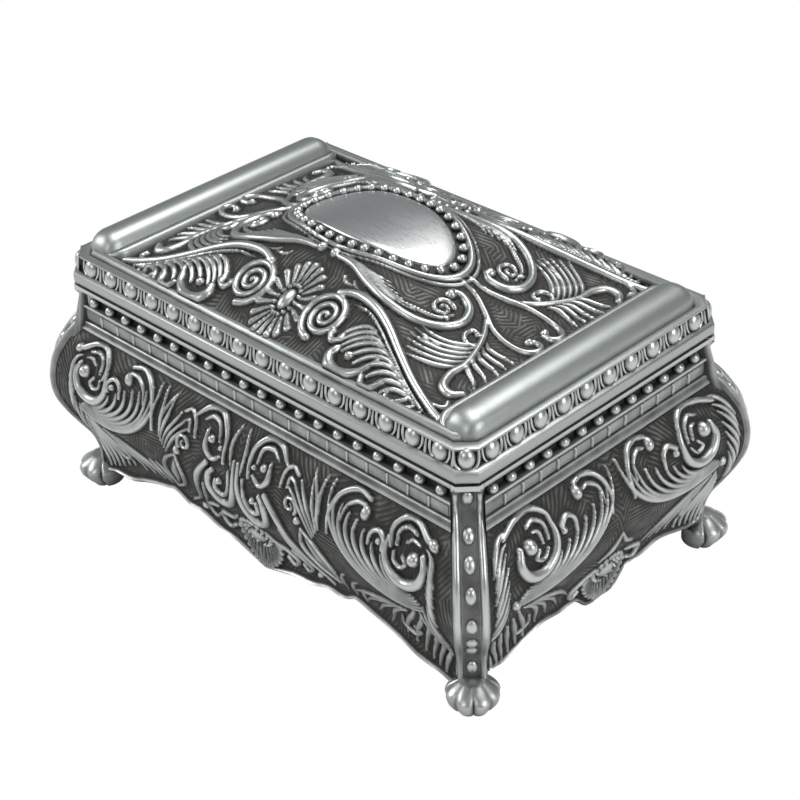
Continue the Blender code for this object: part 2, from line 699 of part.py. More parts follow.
def crown_height(x, y):
    """Height of the lid's crown: a hump along X that the front and back slopes cut down."""
    phase = min(abs(x) / CROWN_RUN, 1.0) * math.pi / 2
    hump = LID_TOP - CROWN_RISE * math.sin(phase) ** 2 - CROWN_SAG * (y / HALF_WIDTH) ** 2
    slope = LEDGE_LEVEL - CROWN_BLEND + CROWN_SLOPE_RATIO * (HALF_WIDTH - CROWN_INSET - abs(y))
    lower = min(hump, slope)
    upper = max(hump, slope)
    return lower - CROWN_BLEND * math.log(1.0 + math.exp((lower - upper) / CROWN_BLEND))


def crown_place(x, y):
    """World point on the crown."""
    return Vector((x, y, crown_height(x, y)))


def crown_scrolls(name, path, material):
    """One scroll of the crown, mirrored about both middles."""
    bm = bmesh.new()
    for sign_x in (-1, 1):
        for sign_y in (-1, 1):
            add_scroll(bm, crown_place, mirror_path(path, sign_x, sign_y), LID_SCROLL_HALF_WIDTH)
    return finish_mesh(name, bm, material)


def crown_relief(material):
    """The main scrolls and the two flowers of the crown, each kind as a solid of its own."""
    size = (CROWN_HALF_LENGTH, CROWN_HALF_WIDTH)
    daisy_v = LID_DAISY_SHARE * CROWN_HALF_WIDTH
    eye_u = DAISY_HALF_WIDTH + SEAT_GAP + LID_SCROLL_HALF_WIDTH + VOLUTE_RADIUS
    stem = [(eye_u + share * (CROWN_HALF_LENGTH - eye_u), v * CROWN_HALF_WIDTH)
            for share, v in LID_STEM_SHARES]
    daisies = bmesh.new()
    for sign in (-1, 1):
        add_daisy(daisies, crown_place, 0.0, sign * daisy_v)
    return [
        crown_scrolls("lid_stems", stem + volute_path(eye_u, daisy_v), material),
        crown_scrolls("lid_oval_stems", smooth_path(scale_shares(LID_OVAL_STEM_SHARES, *size)), material),
        crown_scrolls("lid_branches", scale_shares(LID_BRANCH_SHARES, *size), material),
        finish_mesh("lid_daisies", daisies, material),
    ]


def crowned_block(name, half_x, half_y, drop, base, columns, rows, material, parent=None):
    """A solid whose top follows the crown, lowered by `drop`, over a flat bottom."""
    bm = bmesh.new()
    xs = spread(columns + 1, half_x)
    ys = spread(rows + 1, half_y)
    top = [[bm.verts.new((x, y, crown_height(x, y) - drop)) for x in xs] for y in ys]
    for lower, upper in zip(top, top[1:]):
        for i in range(columns):
            bm.faces.new((lower[i], lower[i + 1], upper[i + 1], upper[i]))
    border = top[0] + [row[-1] for row in top[1:]] + top[-1][-2::-1] + [row[0] for row in top[-2:0:-1]]
    bottom = [bm.verts.new((vert.co.x, vert.co.y, base)) for vert in border]
    for i in range(len(border)):
        j = (i + 1) % len(border)
        bm.faces.new((border[i], bottom[i], bottom[j], border[j]))
    bm.faces.new(bottom)
    return finish_mesh(name, bm, material, parent)


def lid_rim_block(material, parent):
    """The lid's moulded rim as a solid frame up to its ledge."""
    rings = []
    for inset_share, height_share in LID_RIM_SHARES:
        inset = LID_RIM_INSET * inset_share
        outline = chamfered_outline(HALF_LENGTH - inset, HALF_WIDTH - inset, RIM_CHAMFER)
        z = LID_BASE + LID_RIM_HEIGHT * height_share
        rings.append([Vector((x, y, z)) for x, y in outline])
    return loft_object("lid_casting", rings, material, parent)


def roll_bar(name, sign, centre_inset, half_width, rise, sides, material):
    """A half-round bar across one end of the lid, with rounded ends."""
    half = HALF_WIDTH - ROLL_END_INSET
    centre_x = sign * (HALF_LENGTH - centre_inset)
    ends = []
    for share in ROLL_END_SHARES:
        turn = share * math.pi / 2
        ends.append((half - half_width + half_width * math.sin(turn), math.cos(turn)))
    ends.append((half, ends[-1][1] / 2))
    stations = [(-y, size) for y, size in reversed(ends)] + ends
    rings = []
    for y, size in stations:
        ring = []
        for i in range(sides):
            angle = 2 * math.pi * i / sides
            height = math.sin(angle) * rise * size
            height *= 1.0 if height > 0 else ROLL_SUNK_SHARE
            x = centre_x + math.cos(angle) * half_width * size
            ring.append(Vector((x, y, LEDGE_LEVEL + height)))
        rings.append(ring)
    return loft_object(name, rings, material)


def lid_eggs(material):
    """The eggs of the egg-and-dart moulding, leaning back with the rim."""
    bm = bmesh.new()
    level = LID_BASE + LID_RIM_HEIGHT * EGG_LEVEL_SHARE
    inset = LID_RIM_INSET * EGG_INSET_SHARE
    sizes = (EGG_HALF_WIDTH, EGG_HALF_HEIGHT, EGG_RISE)
    for side in range(4):
        count = EGGS_LONG if side % 2 == 0 else EGGS_SHORT
        half = side_half(side) - RIM_CHAMFER - EGG_END_MARGIN
        turn = Matrix.Rotation(QUARTER_TURN * side, 3, "Z")
        across = turn @ Vector((1.0, 0.0, 0.0))
        up = turn @ Vector((0.0, math.sin(EGG_LEAN), math.cos(EGG_LEAN)))
        for along in spread(count, half):
            centre = place_on_side(side, along, -inset, level)
            place = frame_matrix(centre, across, up, across.cross(up), sizes)
            add_ellipsoid(bm, place, EGG_SIDES)
    for sign_x in (-1, 1):
        for sign_y in (-1, 1):
            outward = Vector((sign_x, sign_y, 0.0)).normalized()
            across = Vector((-sign_y, sign_x, 0.0)).normalized()
            up = Vector((0.0, 0.0, math.cos(EGG_LEAN))) - outward * math.sin(EGG_LEAN)
            centre = corner_point(sign_x, sign_y, 0.0, -CHAMFER_FACE - inset, level)
            place = frame_matrix(centre, across, up, across.cross(up), sizes)
            add_ellipsoid(bm, place, EGG_SIDES)
    return finish_mesh("lid_eggs", bm, material)


def even_oval(count, half_x, half_y):
    """Places spaced evenly by their distance along an oval."""
    fine = count * OVAL_FINE_STEPS
    angles = [2 * math.pi * i / fine for i in range(fine + 1)]
    points = [Vector((half_x * math.cos(a), half_y * math.sin(a))) for a in angles]
    walked = [0.0]
    for first, second in zip(points, points[1:]):
        walked.append(walked[-1] + (second - first).length)
    places = []
    index = 0
    for i in range(count):
        while walked[index] < walked[-1] * i / count:
            index += 1
        places.append(points[index])
    return places


def oval_beads(material):
    """The ring of beads round the oval plate."""
    bm = bmesh.new()
    for x, y in even_oval(OVAL_BEADS, PLATE_HALF_LENGTH + OVAL_BEAD_OUT, PLATE_HALF_WIDTH + OVAL_BEAD_OUT):
        centre = Vector((x, y, crown_height(x, y) + OVAL_BEAD_RADIUS / 4))
        add_ellipsoid(bm, Matrix.Translation(centre) @ Matrix.Diagonal((OVAL_BEAD_RADIUS,) * 3 + (1.0,)))
    return finish_mesh("lid_oval_beads", bm, material)


def oval_plate(name, grow, top_rise, bottom_drop, material, parent=None):
    """An oval plate that follows the crown, grown sideways by a clearance."""
    half_x = PLATE_HALF_LENGTH + grow
    half_y = PLATE_HALF_WIDTH + grow
    bm = bmesh.new()

    def ring(share, offset):
        points = []
        for i in range(PLATE_SEGMENTS):
            angle = 2 * math.pi * i / PLATE_SEGMENTS
            x = half_x * share * math.cos(angle)
            y = half_y * share * math.sin(angle)
            points.append(Vector((x, y, crown_height(x, y) + offset)))
        return points

    shares = PLATE_RING_SHARES
    bottom = [ring(share, -bottom_drop) for share in reversed(shares)] + [ring(1.0, -bottom_drop)]
    top = [ring(1.0, 0.0)] + [ring(share, top_rise) for share in shares]
    rows = add_loft(bm, bottom + top, caps=False)
    for row, offset in ((rows[0], -bottom_drop), (rows[-1], top_rise)):
        pole = bm.verts.new((0.0, 0.0, crown_height(0.0, 0.0) + offset))
        for i in range(PLATE_SEGMENTS):
            bm.faces.new((row[i], row[(i + 1) % PLATE_SEGMENTS], pole))
    return finish_mesh(name, bm, material, parent)


def hinge_rebate(name, low_z, high_z, material):
    """The pocket in the back edge that takes a hinge leaf."""
    half = HINGE_LENGTH / 2 + SEAT_GAP
    low = Vector((-half, HALF_WIDTH - LEAF_REACH - OVERRUN, low_z))
    high = Vector((half, HALF_WIDTH + OVERRUN, high_z))
    return block(name, low, high, material)


def make_lid(materials, hinge):
    """The cast lid: rim, crown, end rolls, eggs and oval, hollow below."""
    pewter = materials["pewter"]
    lid = lid_rim_block(pewter, hinge)
    combine(lid, lid_eggs(pewter), "UNION")
    crown = crowned_block("lid_crown", CROWN_HALF_LENGTH, CROWN_HALF_WIDTH, 0.0,
                          LEDGE_LEVEL - LID_WALL / 2, CROWN_COLUMNS, CROWN_ROWS, pewter)
    combine(lid, crown, "UNION")
    for sign, side in ((-1, "left"), (1, "right")):
        roll = roll_bar(f"lid_roll_{side}", sign, ROLL_INSET, ROLL_HALF_WIDTH, ROLL_RISE,
                        ROLL_POINTS, pewter)
        rail = roll_bar(f"lid_rail_{side}", sign, END_RAIL_INSET, END_RAIL_HALF_WIDTH,
                        END_RAIL_RISE, END_RAIL_POINTS, pewter)
        combine(lid, roll, "UNION")
        combine(lid, rail, "UNION")
    for relief in crown_relief(pewter):
        combine(lid, relief, "UNION")
    cavity = crowned_block("lid_cavity", HALF_LENGTH - LID_CAVITY_INSET, HALF_WIDTH - LID_CAVITY_INSET,
                           LID_WALL, LID_BASE - OVERRUN, CAVITY_COLUMNS, CAVITY_ROWS, pewter)
    combine(lid, cavity, "DIFFERENCE")
    rebate_top = LID_BASE + LEAF_THICKNESS + SEAT_GAP
    combine(lid, hinge_rebate("lid_hinge_rebate", LID_BASE - OVERRUN, rebate_top, pewter), "DIFFERENCE")
    seat = oval_plate("lid_plate_seat", SEAT_GAP, OVERRUN, PLATE_THICKNESS, pewter)
    combine(lid, seat, "DIFFERENCE")
    combine(lid, oval_beads(pewter), "UNION")
    oval_plate("cartouche_plate", 0.0, PLATE_PROUD, PLATE_THICKNESS - SEAT_GAP,
               materials["polished"], hinge)
    return lid


def make_lid_lining(material, hinge):
    """The velvet lining that follows the underside of the lid."""
    inset = LID_CAVITY_INSET + SEAT_GAP
    base = LID_BASE + LEAF_THICKNESS + SEAT_GAP
    lining = crowned_block("lining_lid", HALF_LENGTH - inset, HALF_WIDTH - inset, LID_WALL + SEAT_GAP,
                           base, CAVITY_COLUMNS, CAVITY_ROWS, material, hinge)
    inner = inset + CARD_THICKNESS
    hollow = crowned_block("lining_lid_hollow", HALF_LENGTH - inner, HALF_WIDTH - inner,
                           LID_WALL + SEAT_GAP + CARD_THICKNESS, base - OVERRUN, CAVITY_COLUMNS,
                           CAVITY_ROWS, material)
    combine(lining, hollow, "DIFFERENCE")
    return lining


def hinge_cylinder(name, start, end, radius, material, parent=None):
    """A round bar along the hinge axis."""
    rings = []
    for x in (start, end):
        ring = []
        for i in range(HINGE_SEGMENTS):
            angle = 2 * math.pi * i / HINGE_SEGMENTS
            y = HINGE_AXIS_Y + radius * math.cos(angle)
            ring.append(Vector((x, y, HINGE_AXIS_Z + radius * math.sin(angle))))
        rings.append(ring)
    return loft_object(name, rings, material, parent)


def make_leaf(name, first_knuckle, low_z, material, parent=None):
    """A flat leaf with its knuckles: every second knuckle, starting from the first one given."""
    pitch = HINGE_LENGTH / HINGE_KNUCKLES
    high_z = low_z + LEAF_THICKNESS
    edge_y = HINGE_AXIS_Y - HINGE_RADIUS - SEAT_GAP
    half = HINGE_LENGTH / 2
    outline = [(half, HALF_WIDTH - LEAF_REACH + SEAT_GAP), (half, edge_y), (-half, edge_y),
               (-half, HALF_WIDTH - LEAF_REACH + SEAT_GAP)]
    rings = [[Vector((x, y, z)) for x, y in outline] for z in (low_z, high_z)]
    leaf = loft_object(name, rings, material, parent)
    for index in range(first_knuckle, HINGE_KNUCKLES, 2):
        start = -half + pitch * index + SEAT_GAP / 2
        end = start + pitch - SEAT_GAP
        tab = block(f"{name}_tab_{index}", Vector((start, edge_y - SEAT_GAP, low_z)),
                    Vector((end, HINGE_AXIS_Y - HINGE_BORE_RADIUS, high_z)), material)
        combine(leaf, tab, "UNION")
        barrel = hinge_cylinder(f"{name}_barrel_{index}", start, end, HINGE_RADIUS, material)
        combine(leaf, barrel, "UNION")
    bore_end = half + OVERRUN
    bore = hinge_cylinder(name + "_bore", -bore_end, bore_end, HINGE_BORE_RADIUS, material)
    combine(leaf, bore, "DIFFERENCE")
    return leaf


def make_pin(material):
    """The hinge pin with a small head at each end."""
    half = HINGE_LENGTH / 2 + SEAT_GAP
    pin = hinge_cylinder("hinge_pin", -half, half, HINGE_PIN_RADIUS, material)
    for sign in (-1, 1):
        start = sign * half
        end = sign * (half + HINGE_HEAD_LENGTH)
        head = hinge_cylinder(f"hinge_pin_head_{sign}", min(start, end), max(start, end),
                              HINGE_HEAD_RADIUS, material)
        combine(pin, head, "UNION")
    return pin


def make_body(materials):
    """Walls, posts, floor and lining of the standing part."""
    cast = materials["dark_pewter"]
    velvet = materials["velvet"]
    long_side = (APRON_LONG_SHARES, WALL_LONG_SCROLL_SHARES, BEADS_LONG)
    short_side = (APRON_SHORT_SHARES, WALL_SHORT_SCROLL_SHARES, BEADS_SHORT)
    for side, label in enumerate(("front", "right", "back", "left")):
        form = long_side if side % 2 == 0 else short_side
        wall = make_wall(f"wall_{label}", side, *form, cast)
        if label == "back":
            rebate_floor = BODY_HEIGHT - LEAF_THICKNESS - SEAT_GAP
            rebate = hinge_rebate("wall_hinge_rebate", rebate_floor, BODY_HEIGHT + OVERRUN, cast)
            combine(wall, rebate, "DIFFERENCE")
        make_card(f"lining_{label}", side, velvet)
    for sign_y, depth_label in ((-1, "front"), (1, "back")):
        for sign_x, side_label in ((-1, "left"), (1, "right")):
            make_post(f"post_{depth_label}_{side_label}", sign_x, sign_y, materials["pewter"])
    make_floor(cast)
    make_floor_pad(velvet)


def main():
    """Build every piece."""
    clear_scene()
    materials = {
        "pewter": make_material("pewter", (0.40, 0.41, 0.40), 1.0, 0.38),
        "dark_pewter": make_material("dark_pewter", (0.27, 0.275, 0.265), 1.0, 0.45),
        "polished": make_material("polished_pewter", (0.52, 0.53, 0.52), 1.0, 0.25),
        "velvet": make_material("wine_velvet", (0.12, 0.012, 0.022), 0.0, 0.95),
        "steel": make_material("pin_steel", (0.45, 0.45, 0.46), 1.0, 0.35),
    }
    hinge = bpy.data.objects.new("lid_hinge_axis", None)
    hinge.location = (0.0, HINGE_AXIS_Y, HINGE_AXIS_Z)
    bpy.context.collection.objects.link(hinge)
    bpy.context.view_layer.update()
    make_body(materials)
    make_lid(materials, hinge)
    make_lid_lining(materials["velvet"], hinge)
    make_leaf("hinge_leaf_body", 0, BODY_HEIGHT - LEAF_THICKNESS, materials["pewter"])
    make_leaf("hinge_leaf_lid", 1, LID_BASE, materials["pewter"], hinge)
    make_pin(materials["steel"])


main()
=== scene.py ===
"""Looks of a footed trinket box in antiqued pewter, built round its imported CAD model.

Sizes in the classes are in millimetres; meshes are written in metres, in the CAD model's frame:
+X along the long side, +Y towards the hinge, +Z up.
"""

import logging
import math
from dataclasses import dataclass, field
from enum import Enum
from typing import Callable, Sequence

import bmesh
import bpy
import numpy as np
from mathutils import Matrix, Vector


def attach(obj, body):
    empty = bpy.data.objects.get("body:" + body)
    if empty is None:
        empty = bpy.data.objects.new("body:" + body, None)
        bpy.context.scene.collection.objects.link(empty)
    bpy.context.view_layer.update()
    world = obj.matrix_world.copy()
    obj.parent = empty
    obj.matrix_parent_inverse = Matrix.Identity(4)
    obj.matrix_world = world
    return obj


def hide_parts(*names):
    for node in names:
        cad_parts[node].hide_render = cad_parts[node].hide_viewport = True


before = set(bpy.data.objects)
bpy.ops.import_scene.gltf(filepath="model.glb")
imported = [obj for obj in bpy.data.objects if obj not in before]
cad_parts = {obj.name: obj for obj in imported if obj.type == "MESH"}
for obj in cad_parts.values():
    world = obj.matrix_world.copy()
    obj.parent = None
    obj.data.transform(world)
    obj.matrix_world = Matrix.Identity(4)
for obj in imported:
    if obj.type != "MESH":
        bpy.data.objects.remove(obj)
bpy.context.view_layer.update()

LOG = logging.getLogger("trinket_box")
MM = 0.001
ROOT_TWO = math.sqrt(2.0)
Point = tuple[float, float]
Array = np.ndarray


class Body(str, Enum):
    """The two moving bodies of the CAD model."""

    CASKET = "casket"
    LID = "lid"


class Slot(str, Enum):
    """Material slot labels passed along with each piece."""

    ANTIQUE = "antique_pewter"
    PEWTER = "pewter"
    POLISHED = "polished_pewter"
    VELVET = "wine_velvet"


class Profile(Enum):
    """Cross-section of a modelled stroke of ornament."""

    ROUND = "round"
    VEINED = "veined"


# Curves and small geometry


def hermite_table(table: Sequence[Point]) -> Callable[[Array], Array]:
    """Smooth curve through a table of places and values.

    Args:
        table: pairs of place and value, with rising places.

    Returns:
        A function that reads the curve at an array of places.
    """
    xs = np.array([row[0] for row in table], float)
    ys = np.array([row[1] for row in table], float)
    slopes = np.gradient(ys, xs)

    def read(where: Array) -> Array:
        """Value of the curve at each place."""
        where = np.clip(np.asarray(where, float), xs[0], xs[-1])
        i = np.clip(np.searchsorted(xs, where, side="right") - 1, 0, len(xs) - 2)
        span = xs[i + 1] - xs[i]
        t = (where - xs[i]) / span
        a = (1 + 2 * t) * (1 - t) ** 2 * ys[i] + t * (1 - t) ** 2 * span * slopes[i]
        b = t * t * (3 - 2 * t) * ys[i + 1] + t * t * (t - 1) * span * slopes[i + 1]
        return a + b

    return read


def smooth_path(points: Sequence[Point], steps: int = 10) -> Array:
    """Catmull-Rom curve through points.

    Args:
        points: places on the curve.
        steps: samples for each span.

    Returns:
        Sampled places, one row each.
    """
    p = np.array(points, float)
    if len(p) == 2:
        t = np.linspace(0, 1, steps * 2)[:, None]
        return p[0] * (1 - t) + p[1] * t
    p = np.vstack([2 * p[0] - p[1], p, 2 * p[-1] - p[-2]])
    rows = []
    for i in range(1, len(p) - 2):
        for t in np.linspace(0, 1, steps, endpoint=False):
            rows.append(0.5 * (2 * p[i] + (p[i + 1] - p[i - 1]) * t
                               + (2 * p[i - 1] - 5 * p[i] + 4 * p[i + 1] - p[i + 2]) * t * t
                               + (3 * p[i] - p[i - 1] - 3 * p[i + 1] + p[i + 2]) * t ** 3))
    rows.append(p[-2])
    return np.array(rows)


def heading(degrees: float) -> Array:
    """Unit vector of a heading in degrees."""
    return np.array([math.cos(math.radians(degrees)), math.sin(math.radians(degrees))])


def box_blur(grid: Array, reach: int) -> Array:
    """Mean of a grid over a square window, with the edge repeated."""
    for axis in (0, 1):
        width = [(reach + 1, reach) if a == axis else (0, 0) for a in (0, 1)]
        total = np.cumsum(np.pad(grid, width, mode="edge"), axis=axis)
        size = grid.shape[axis]
        upper = np.take(total, np.arange(2 * reach + 1, 2 * reach + 1 + size), axis=axis)
        lower = np.take(total, np.arange(0, size), axis=axis)
        grid = (upper - lower) / (2 * reach + 1)
    return grid


# Relief


@dataclass
class Relief:
    """Cast ornament as heights above a ground, worked out on a grid of places.

    Attributes:
        u: place of each grid point along the panel.
        v: place of each grid point across the panel.
        height: height of the ornament at each grid point.
    """

    u: Array
    v: Array
    height: Array = field(init=False)

    def __post_init__(self) -> None:
        """Start from bare ground."""
        self.height = np.zeros(self.u.shape)

    def hatch(self, pitch: float, depth: float, patch: float, seed: int) -> None:
        """Cover the ground with patches of engraved parallel lines.

        Args:
            pitch: distance between lines.
            depth: height of the lines.
            patch: size of a patch.
            seed: seed of the patches' places and directions.
        """
        rng = np.random.default_rng(seed)
        low = np.array([self.u.min(), self.v.min()])
        high = np.array([self.u.max(), self.v.max()])
        count = max(int((high - low).prod() / patch ** 2), 4)
        seeds = rng.uniform(low, high, (count, 2))
        turns = rng.uniform(0, math.pi, count)
        nearest = np.full(self.u.shape, np.inf)
        turn = np.zeros(self.u.shape)
        for (x, y), angle in zip(seeds, turns):
            distance = (self.u - x) ** 2 + (self.v - y) ** 2
            closer = distance < nearest
            nearest = np.where(closer, distance, nearest)
            turn = np.where(closer, angle, turn)
        phase = (self.u * np.cos(turn) + self.v * np.sin(turn)) * 2 * math.pi / pitch
        self.height = np.maximum(self.height, depth * (0.5 + 0.5 * np.sin(phase)))

    def stroke(self, path: Array | Sequence[Point], radius: Sequence[float], height: float,
               profile: Profile = Profile.ROUND) -> None:
        """Raise a stroke along a path.

        Args:
            path: places along the stroke; a short list is smoothed.
            radius: half width at even steps along the stroke.
            height: height where the stroke is widest.
            profile: cross-section of the stroke.
        """
        path = np.asarray(path, float)
        if len(path) < 14:
            path = smooth_path(path)
        share = np.linspace(0, 1, len(path))
        widths = np.interp(share, np.linspace(0, 1, len(radius)), radius)
        reach = widths.max()
        low, high = path.min(0) - reach, path.max(0) + reach
        inside = (self.u > low[0]) & (self.u < high[0]) & (self.v > low[1]) & (self.v < high[1])
        where = np.nonzero(inside)
        if not len(where[0]):
            return
        places = np.stack([self.u[where], self.v[where]], 1)
        best = np.full(len(places), np.inf)
        width_at = np.ones(len(places))
        for start, end, r0, r1 in zip(path, path[1:], widths, widths[1:]):
            along = end - start
            length = max(float(along @ along), 1e-9)
            t = np.clip((places - start) @ along / length, 0, 1)
            gap = np.linalg.norm(places - start - t[:, None] * along, axis=1)
            r = r0 + (r1 - r0) * t
            q = gap / np.maximum(r, 1e-3)
            nearer = q < best
            best = np.where(nearer, q, best)
            width_at = np.where(nearer, r, width_at)
        q = np.clip(best, 0, 1)
        shape = np.sqrt(np.maximum(1 - q * q, 0))
        if profile is Profile.VEINED:
            shape = shape - 0.38 * np.exp(-(q / 0.28) ** 2)
        rise = height * (0.35 + 0.65 * width_at / reach) * shape
        self.height[where] = np.maximum(self.height[where], rise)

    def fan(self, keys: Sequence[tuple[float, ...]], count: int, radius: Sequence[float], height: float,
            profile: Profile = Profile.ROUND) -> None:
        """Raise a fan of feathers that pass gradually from one key feather to the next.

        Args:
            keys: root place and heading, then tip place and heading, in millimetres and degrees.
            count: number of feathers.
            radius: half width at even steps along a feather.
            height: height of a feather.
            profile: cross-section of a feather.
        """
        table = np.array(keys, float)
        for place in np.linspace(0, len(table) - 1, count):
            i = min(int(place), len(table) - 2) if len(table) > 1 else 0
            j = min(i + 1, len(table) - 1)
            x0, y0, a0, x1, y1, a1 = table[i] + (table[j] - table[i]) * (place - i)
            root, tip = np.array([x0, y0]), np.array([x1, y1])
            pull = np.linalg.norm(tip - root) * 1.15
            start, end = pull * heading(a0), pull * heading(a1)
            t = np.linspace(0, 1, 26)[:, None]
            path = ((1 + 2 * t) * (1 - t) ** 2 * root + t * (1 - t) ** 2 * start
                    + t * t * (3 - 2 * t) * tip + t * t * (t - 1) * end)
            self.stroke(path, radius, height, profile)

    def ball(self, centre: Point, radius: float, height: float, stretch: float = 1.0,
             turn: float = 0.0) -> None:
        """Raise a rounded knob, stretched along a heading in degrees."""
        c, s = heading(turn)
        along = (self.u - centre[0]) * c + (self.v - centre[1]) * s
        across = -(self.u - centre[0]) * s + (self.v - centre[1]) * c
        q = np.clip((along / (radius * stretch)) ** 2 + (across / radius) ** 2, 0, 1)
        self.height = np.maximum(self.height, height * np.sqrt(1 - q))

    def spiral(self, centre: Point, radii: Point, angles: Point, radius: Sequence[float],
               height: float) -> None:
        """Raise a volute that winds evenly from the first radius and angle to the last."""
        reach, turn = np.linspace(*radii, 60), np.radians(np.linspace(*angles, 60))
        path = np.stack([centre[0] + reach * np.cos(turn), centre[1] + reach * np.sin(turn)], 1)
        self.stroke(path, radius, height)

    def daisy(self, centre: Point, boss: Point, petal: Point, headings: Sequence[float],
              height: float) -> None:
        """Raise a flower: an oval boss, a ring of small beads and rounded petals.

        Args:
            centre: middle of the flower.
            boss: half sizes of the boss.
            petal: half sizes of the outline of the petals.
            headings: heading of each petal in degrees.
            height: height of the boss.
        """
        for degrees in headings:
            c, s = heading(degrees)
            inner = (centre[0] + c * boss[0] * 1.75, centre[1] + s * boss[1] * 1.6)
            outer = (centre[0] + c * petal[0] * 0.91, centre[1] + s * petal[1] * 0.91)
            self.stroke([inner, outer], (0.35, 0.55, 0.8), height * 0.72, Profile.VEINED)
        for degrees in range(0, 360, 24):
            c, s = heading(degrees)
            self.ball((centre[0] + c * boss[0] * 1.42, centre[1] + s * boss[1] * 1.32), 0.5, height * 0.85)
        along = ((self.u - centre[0]) / boss[0]) ** 2 + ((self.v - centre[1]) / boss[1]) ** 2
        self.height = np.maximum(self.height, height * 1.15 * np.sqrt(np.clip(1 - along, 0, 1)))

    def cavity(self, reach: int) -> Array:
        """How high each grid point stands over its surroundings, from 0 in a recess to 1 on an edge."""
        around = box_blur(box_blur(self.height, reach), reach)
        return np.clip(0.30 + 0.85 * (self.height - around) + 0.30 * (self.height - 0.4), 0, 1)


# Meshes


def grid_faces(rows: int, columns: int, start: int = 0) -> list[tuple[int, int, int, int]]:
    """Quads of a grid of vertices that is stored row by row."""
    faces = []
    for r in range(rows - 1):
        a = start + r * columns
        for c in range(columns - 1):
            faces.append((a + c, a + c + 1, a + columns + c + 1, a + columns + c))
    return faces


def add_object(name: str, data: bpy.types.ID) -> bpy.types.Object:
    """Make an object of its data and link it to the scene."""
    obj = bpy.data.objects.new(name, data)
    bpy.context.collection.objects.link(obj)
    return obj


def evaluated_mesh(obj: bpy.types.Object) -> bpy.types.Mesh:
    """Mesh of an object with its modifiers applied."""
    bpy.context.view_layer.update()
    graph = bpy.context.evaluated_depsgraph_get()
    return bpy.data.meshes.new_from_object(obj.evaluated_get(graph))


def make_piece(name: str, points: Array | Sequence, faces: Sequence, material: bpy.types.Material,
               cavity: Array | Sequence[float] | None = None, angle: float = 50.0) -> bpy.types.Object:
    """Make an object from millimetre points and faces, with outward faces and smooth shading.

    Args:
        name: object's name.
        points: vertices in millimetres.
        faces: vertex indices of each face.
        material: finish of the piece.
        cavity: brightness at each vertex, 0 in recesses to 1 on edges: patina and rubbed edges, with painted
            highlights and painted shade on some pieces.
        angle: edges sharper than this many degrees stay sharp.

    Returns:
        The new object, at the origin.
    """
    mesh = bpy.data.meshes.new(name)
    mesh.from_pydata((np.asarray(points, float) * MM).tolist(), [], [tuple(f) for f in faces])
    values = np.full(len(mesh.vertices), 0.6) if cavity is None else np.asarray(cavity, float)
    layer = mesh.attributes.new("cavity", "FLOAT", "POINT")
    layer.data.foreach_set("value", values.astype(np.float32))
    bm = bmesh.new()
    bm.from_mesh(mesh)
    bmesh.ops.recalc_face_normals(bm, faces=bm.faces)
    bm.to_mesh(mesh)
    bm.free()
    mesh.shade_smooth()
    mesh.set_sharp_from_angle(angle=math.radians(angle))
    mesh.materials.append(material)
    return add_object(name, mesh)


def place_piece(obj: bpy.types.Object, body: Body, slot: Slot, *nodes: str) -> bpy.types.Object:
    """Ride a finished piece on a body and hide the CAD nodes that it stands for."""
    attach(obj, body.value)
    if nodes:
        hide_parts(*nodes)
    LOG.info("%s: %d faces on %s", obj.name, len(obj.data.polygons), body.value)
    return obj


def loft(rings: Sequence[Sequence]) -> tuple[Array, list]:
    """Vertices and faces of a closed solid through rings with equal numbers of points."""
    count = len(rings[0])
    points = np.array([p for ring in rings for p in ring], float)
    faces = []
    for r in range(len(rings) - 1):
        for c in range(count):
            d = (c + 1) % count
            faces.append((r * count + c, r * count + d, (r + 1) * count + d, (r + 1) * count + c))
    faces.append(tuple(range(count))[::-1])
    faces.append(tuple(range((len(rings) - 1) * count, len(rings) * count)))
    return points, faces


def tube(path: Array, radius: Sequence[float], sides: int) -> tuple[Array, list]:
    """A closed round bar along a path that lies across Z."""
    normal = np.array([0.0, 0.0, 1.0])
    tangent = np.gradient(path, axis=0)
    tangent /= np.linalg.norm(tangent, axis=1)[:, None]
    side = np.cross(tangent, normal)
    side /= np.linalg.norm(side, axis=1)[:, None]
    turns = [2 * math.pi * i / sides for i in range(sides)]
    rings = []
    for place, across, r in zip(path, side, radius):
        rings.append([place + r * (math.cos(a) * across + math.sin(a) * normal) for a in turns])
    return loft(rings)


def ellipsoid(centre: Sequence[float], sizes: Sequence[float], segments: int = 12,
              rings: int = 7) -> tuple[Array, list]:
    """A closed ellipsoid with its poles along Z."""
    points, faces = [], []
    for i in range(1, rings):
        lift = math.pi * i / rings
        for j in range(segments):
            turn = 2 * math.pi * j / segments
            points.append((centre[0] + sizes[0] * math.sin(lift) * math.cos(turn),
                           centre[1] + sizes[1] * math.sin(lift) * math.sin(turn),
                           centre[2] + sizes[2] * math.cos(lift)))
    for i in range(rings - 2):
        for j in range(segments):
            k = (j + 1) % segments
            faces.append((i * segments + j, i * segments + k, (i + 1) * segments + k, (i + 1) * segments + j))
    top, bottom = len(points), len(points) + 1
    points += [(centre[0], centre[1], centre[2] + sizes[2]), (centre[0], centre[1], centre[2] - sizes[2])]
    last = (rings - 2) * segments
    for j in range(segments):
        k = (j + 1) % segments
        faces += [(top, k, j), (bottom, last + j, last + k)]
    return np.array(points), faces


def merge(*parts: tuple[Array, list]) -> tuple[Array, list]:
    """Put several sets of vertices and faces into one."""
    points, faces, start = [], [], 0
    for more_points, more_faces in parts:
        points.append(np.asarray(more_points, float))
        faces += [tuple(i + start for i in face) for face in more_faces]
        start += len(more_points)
    return np.vstack(points), faces


# Nodes


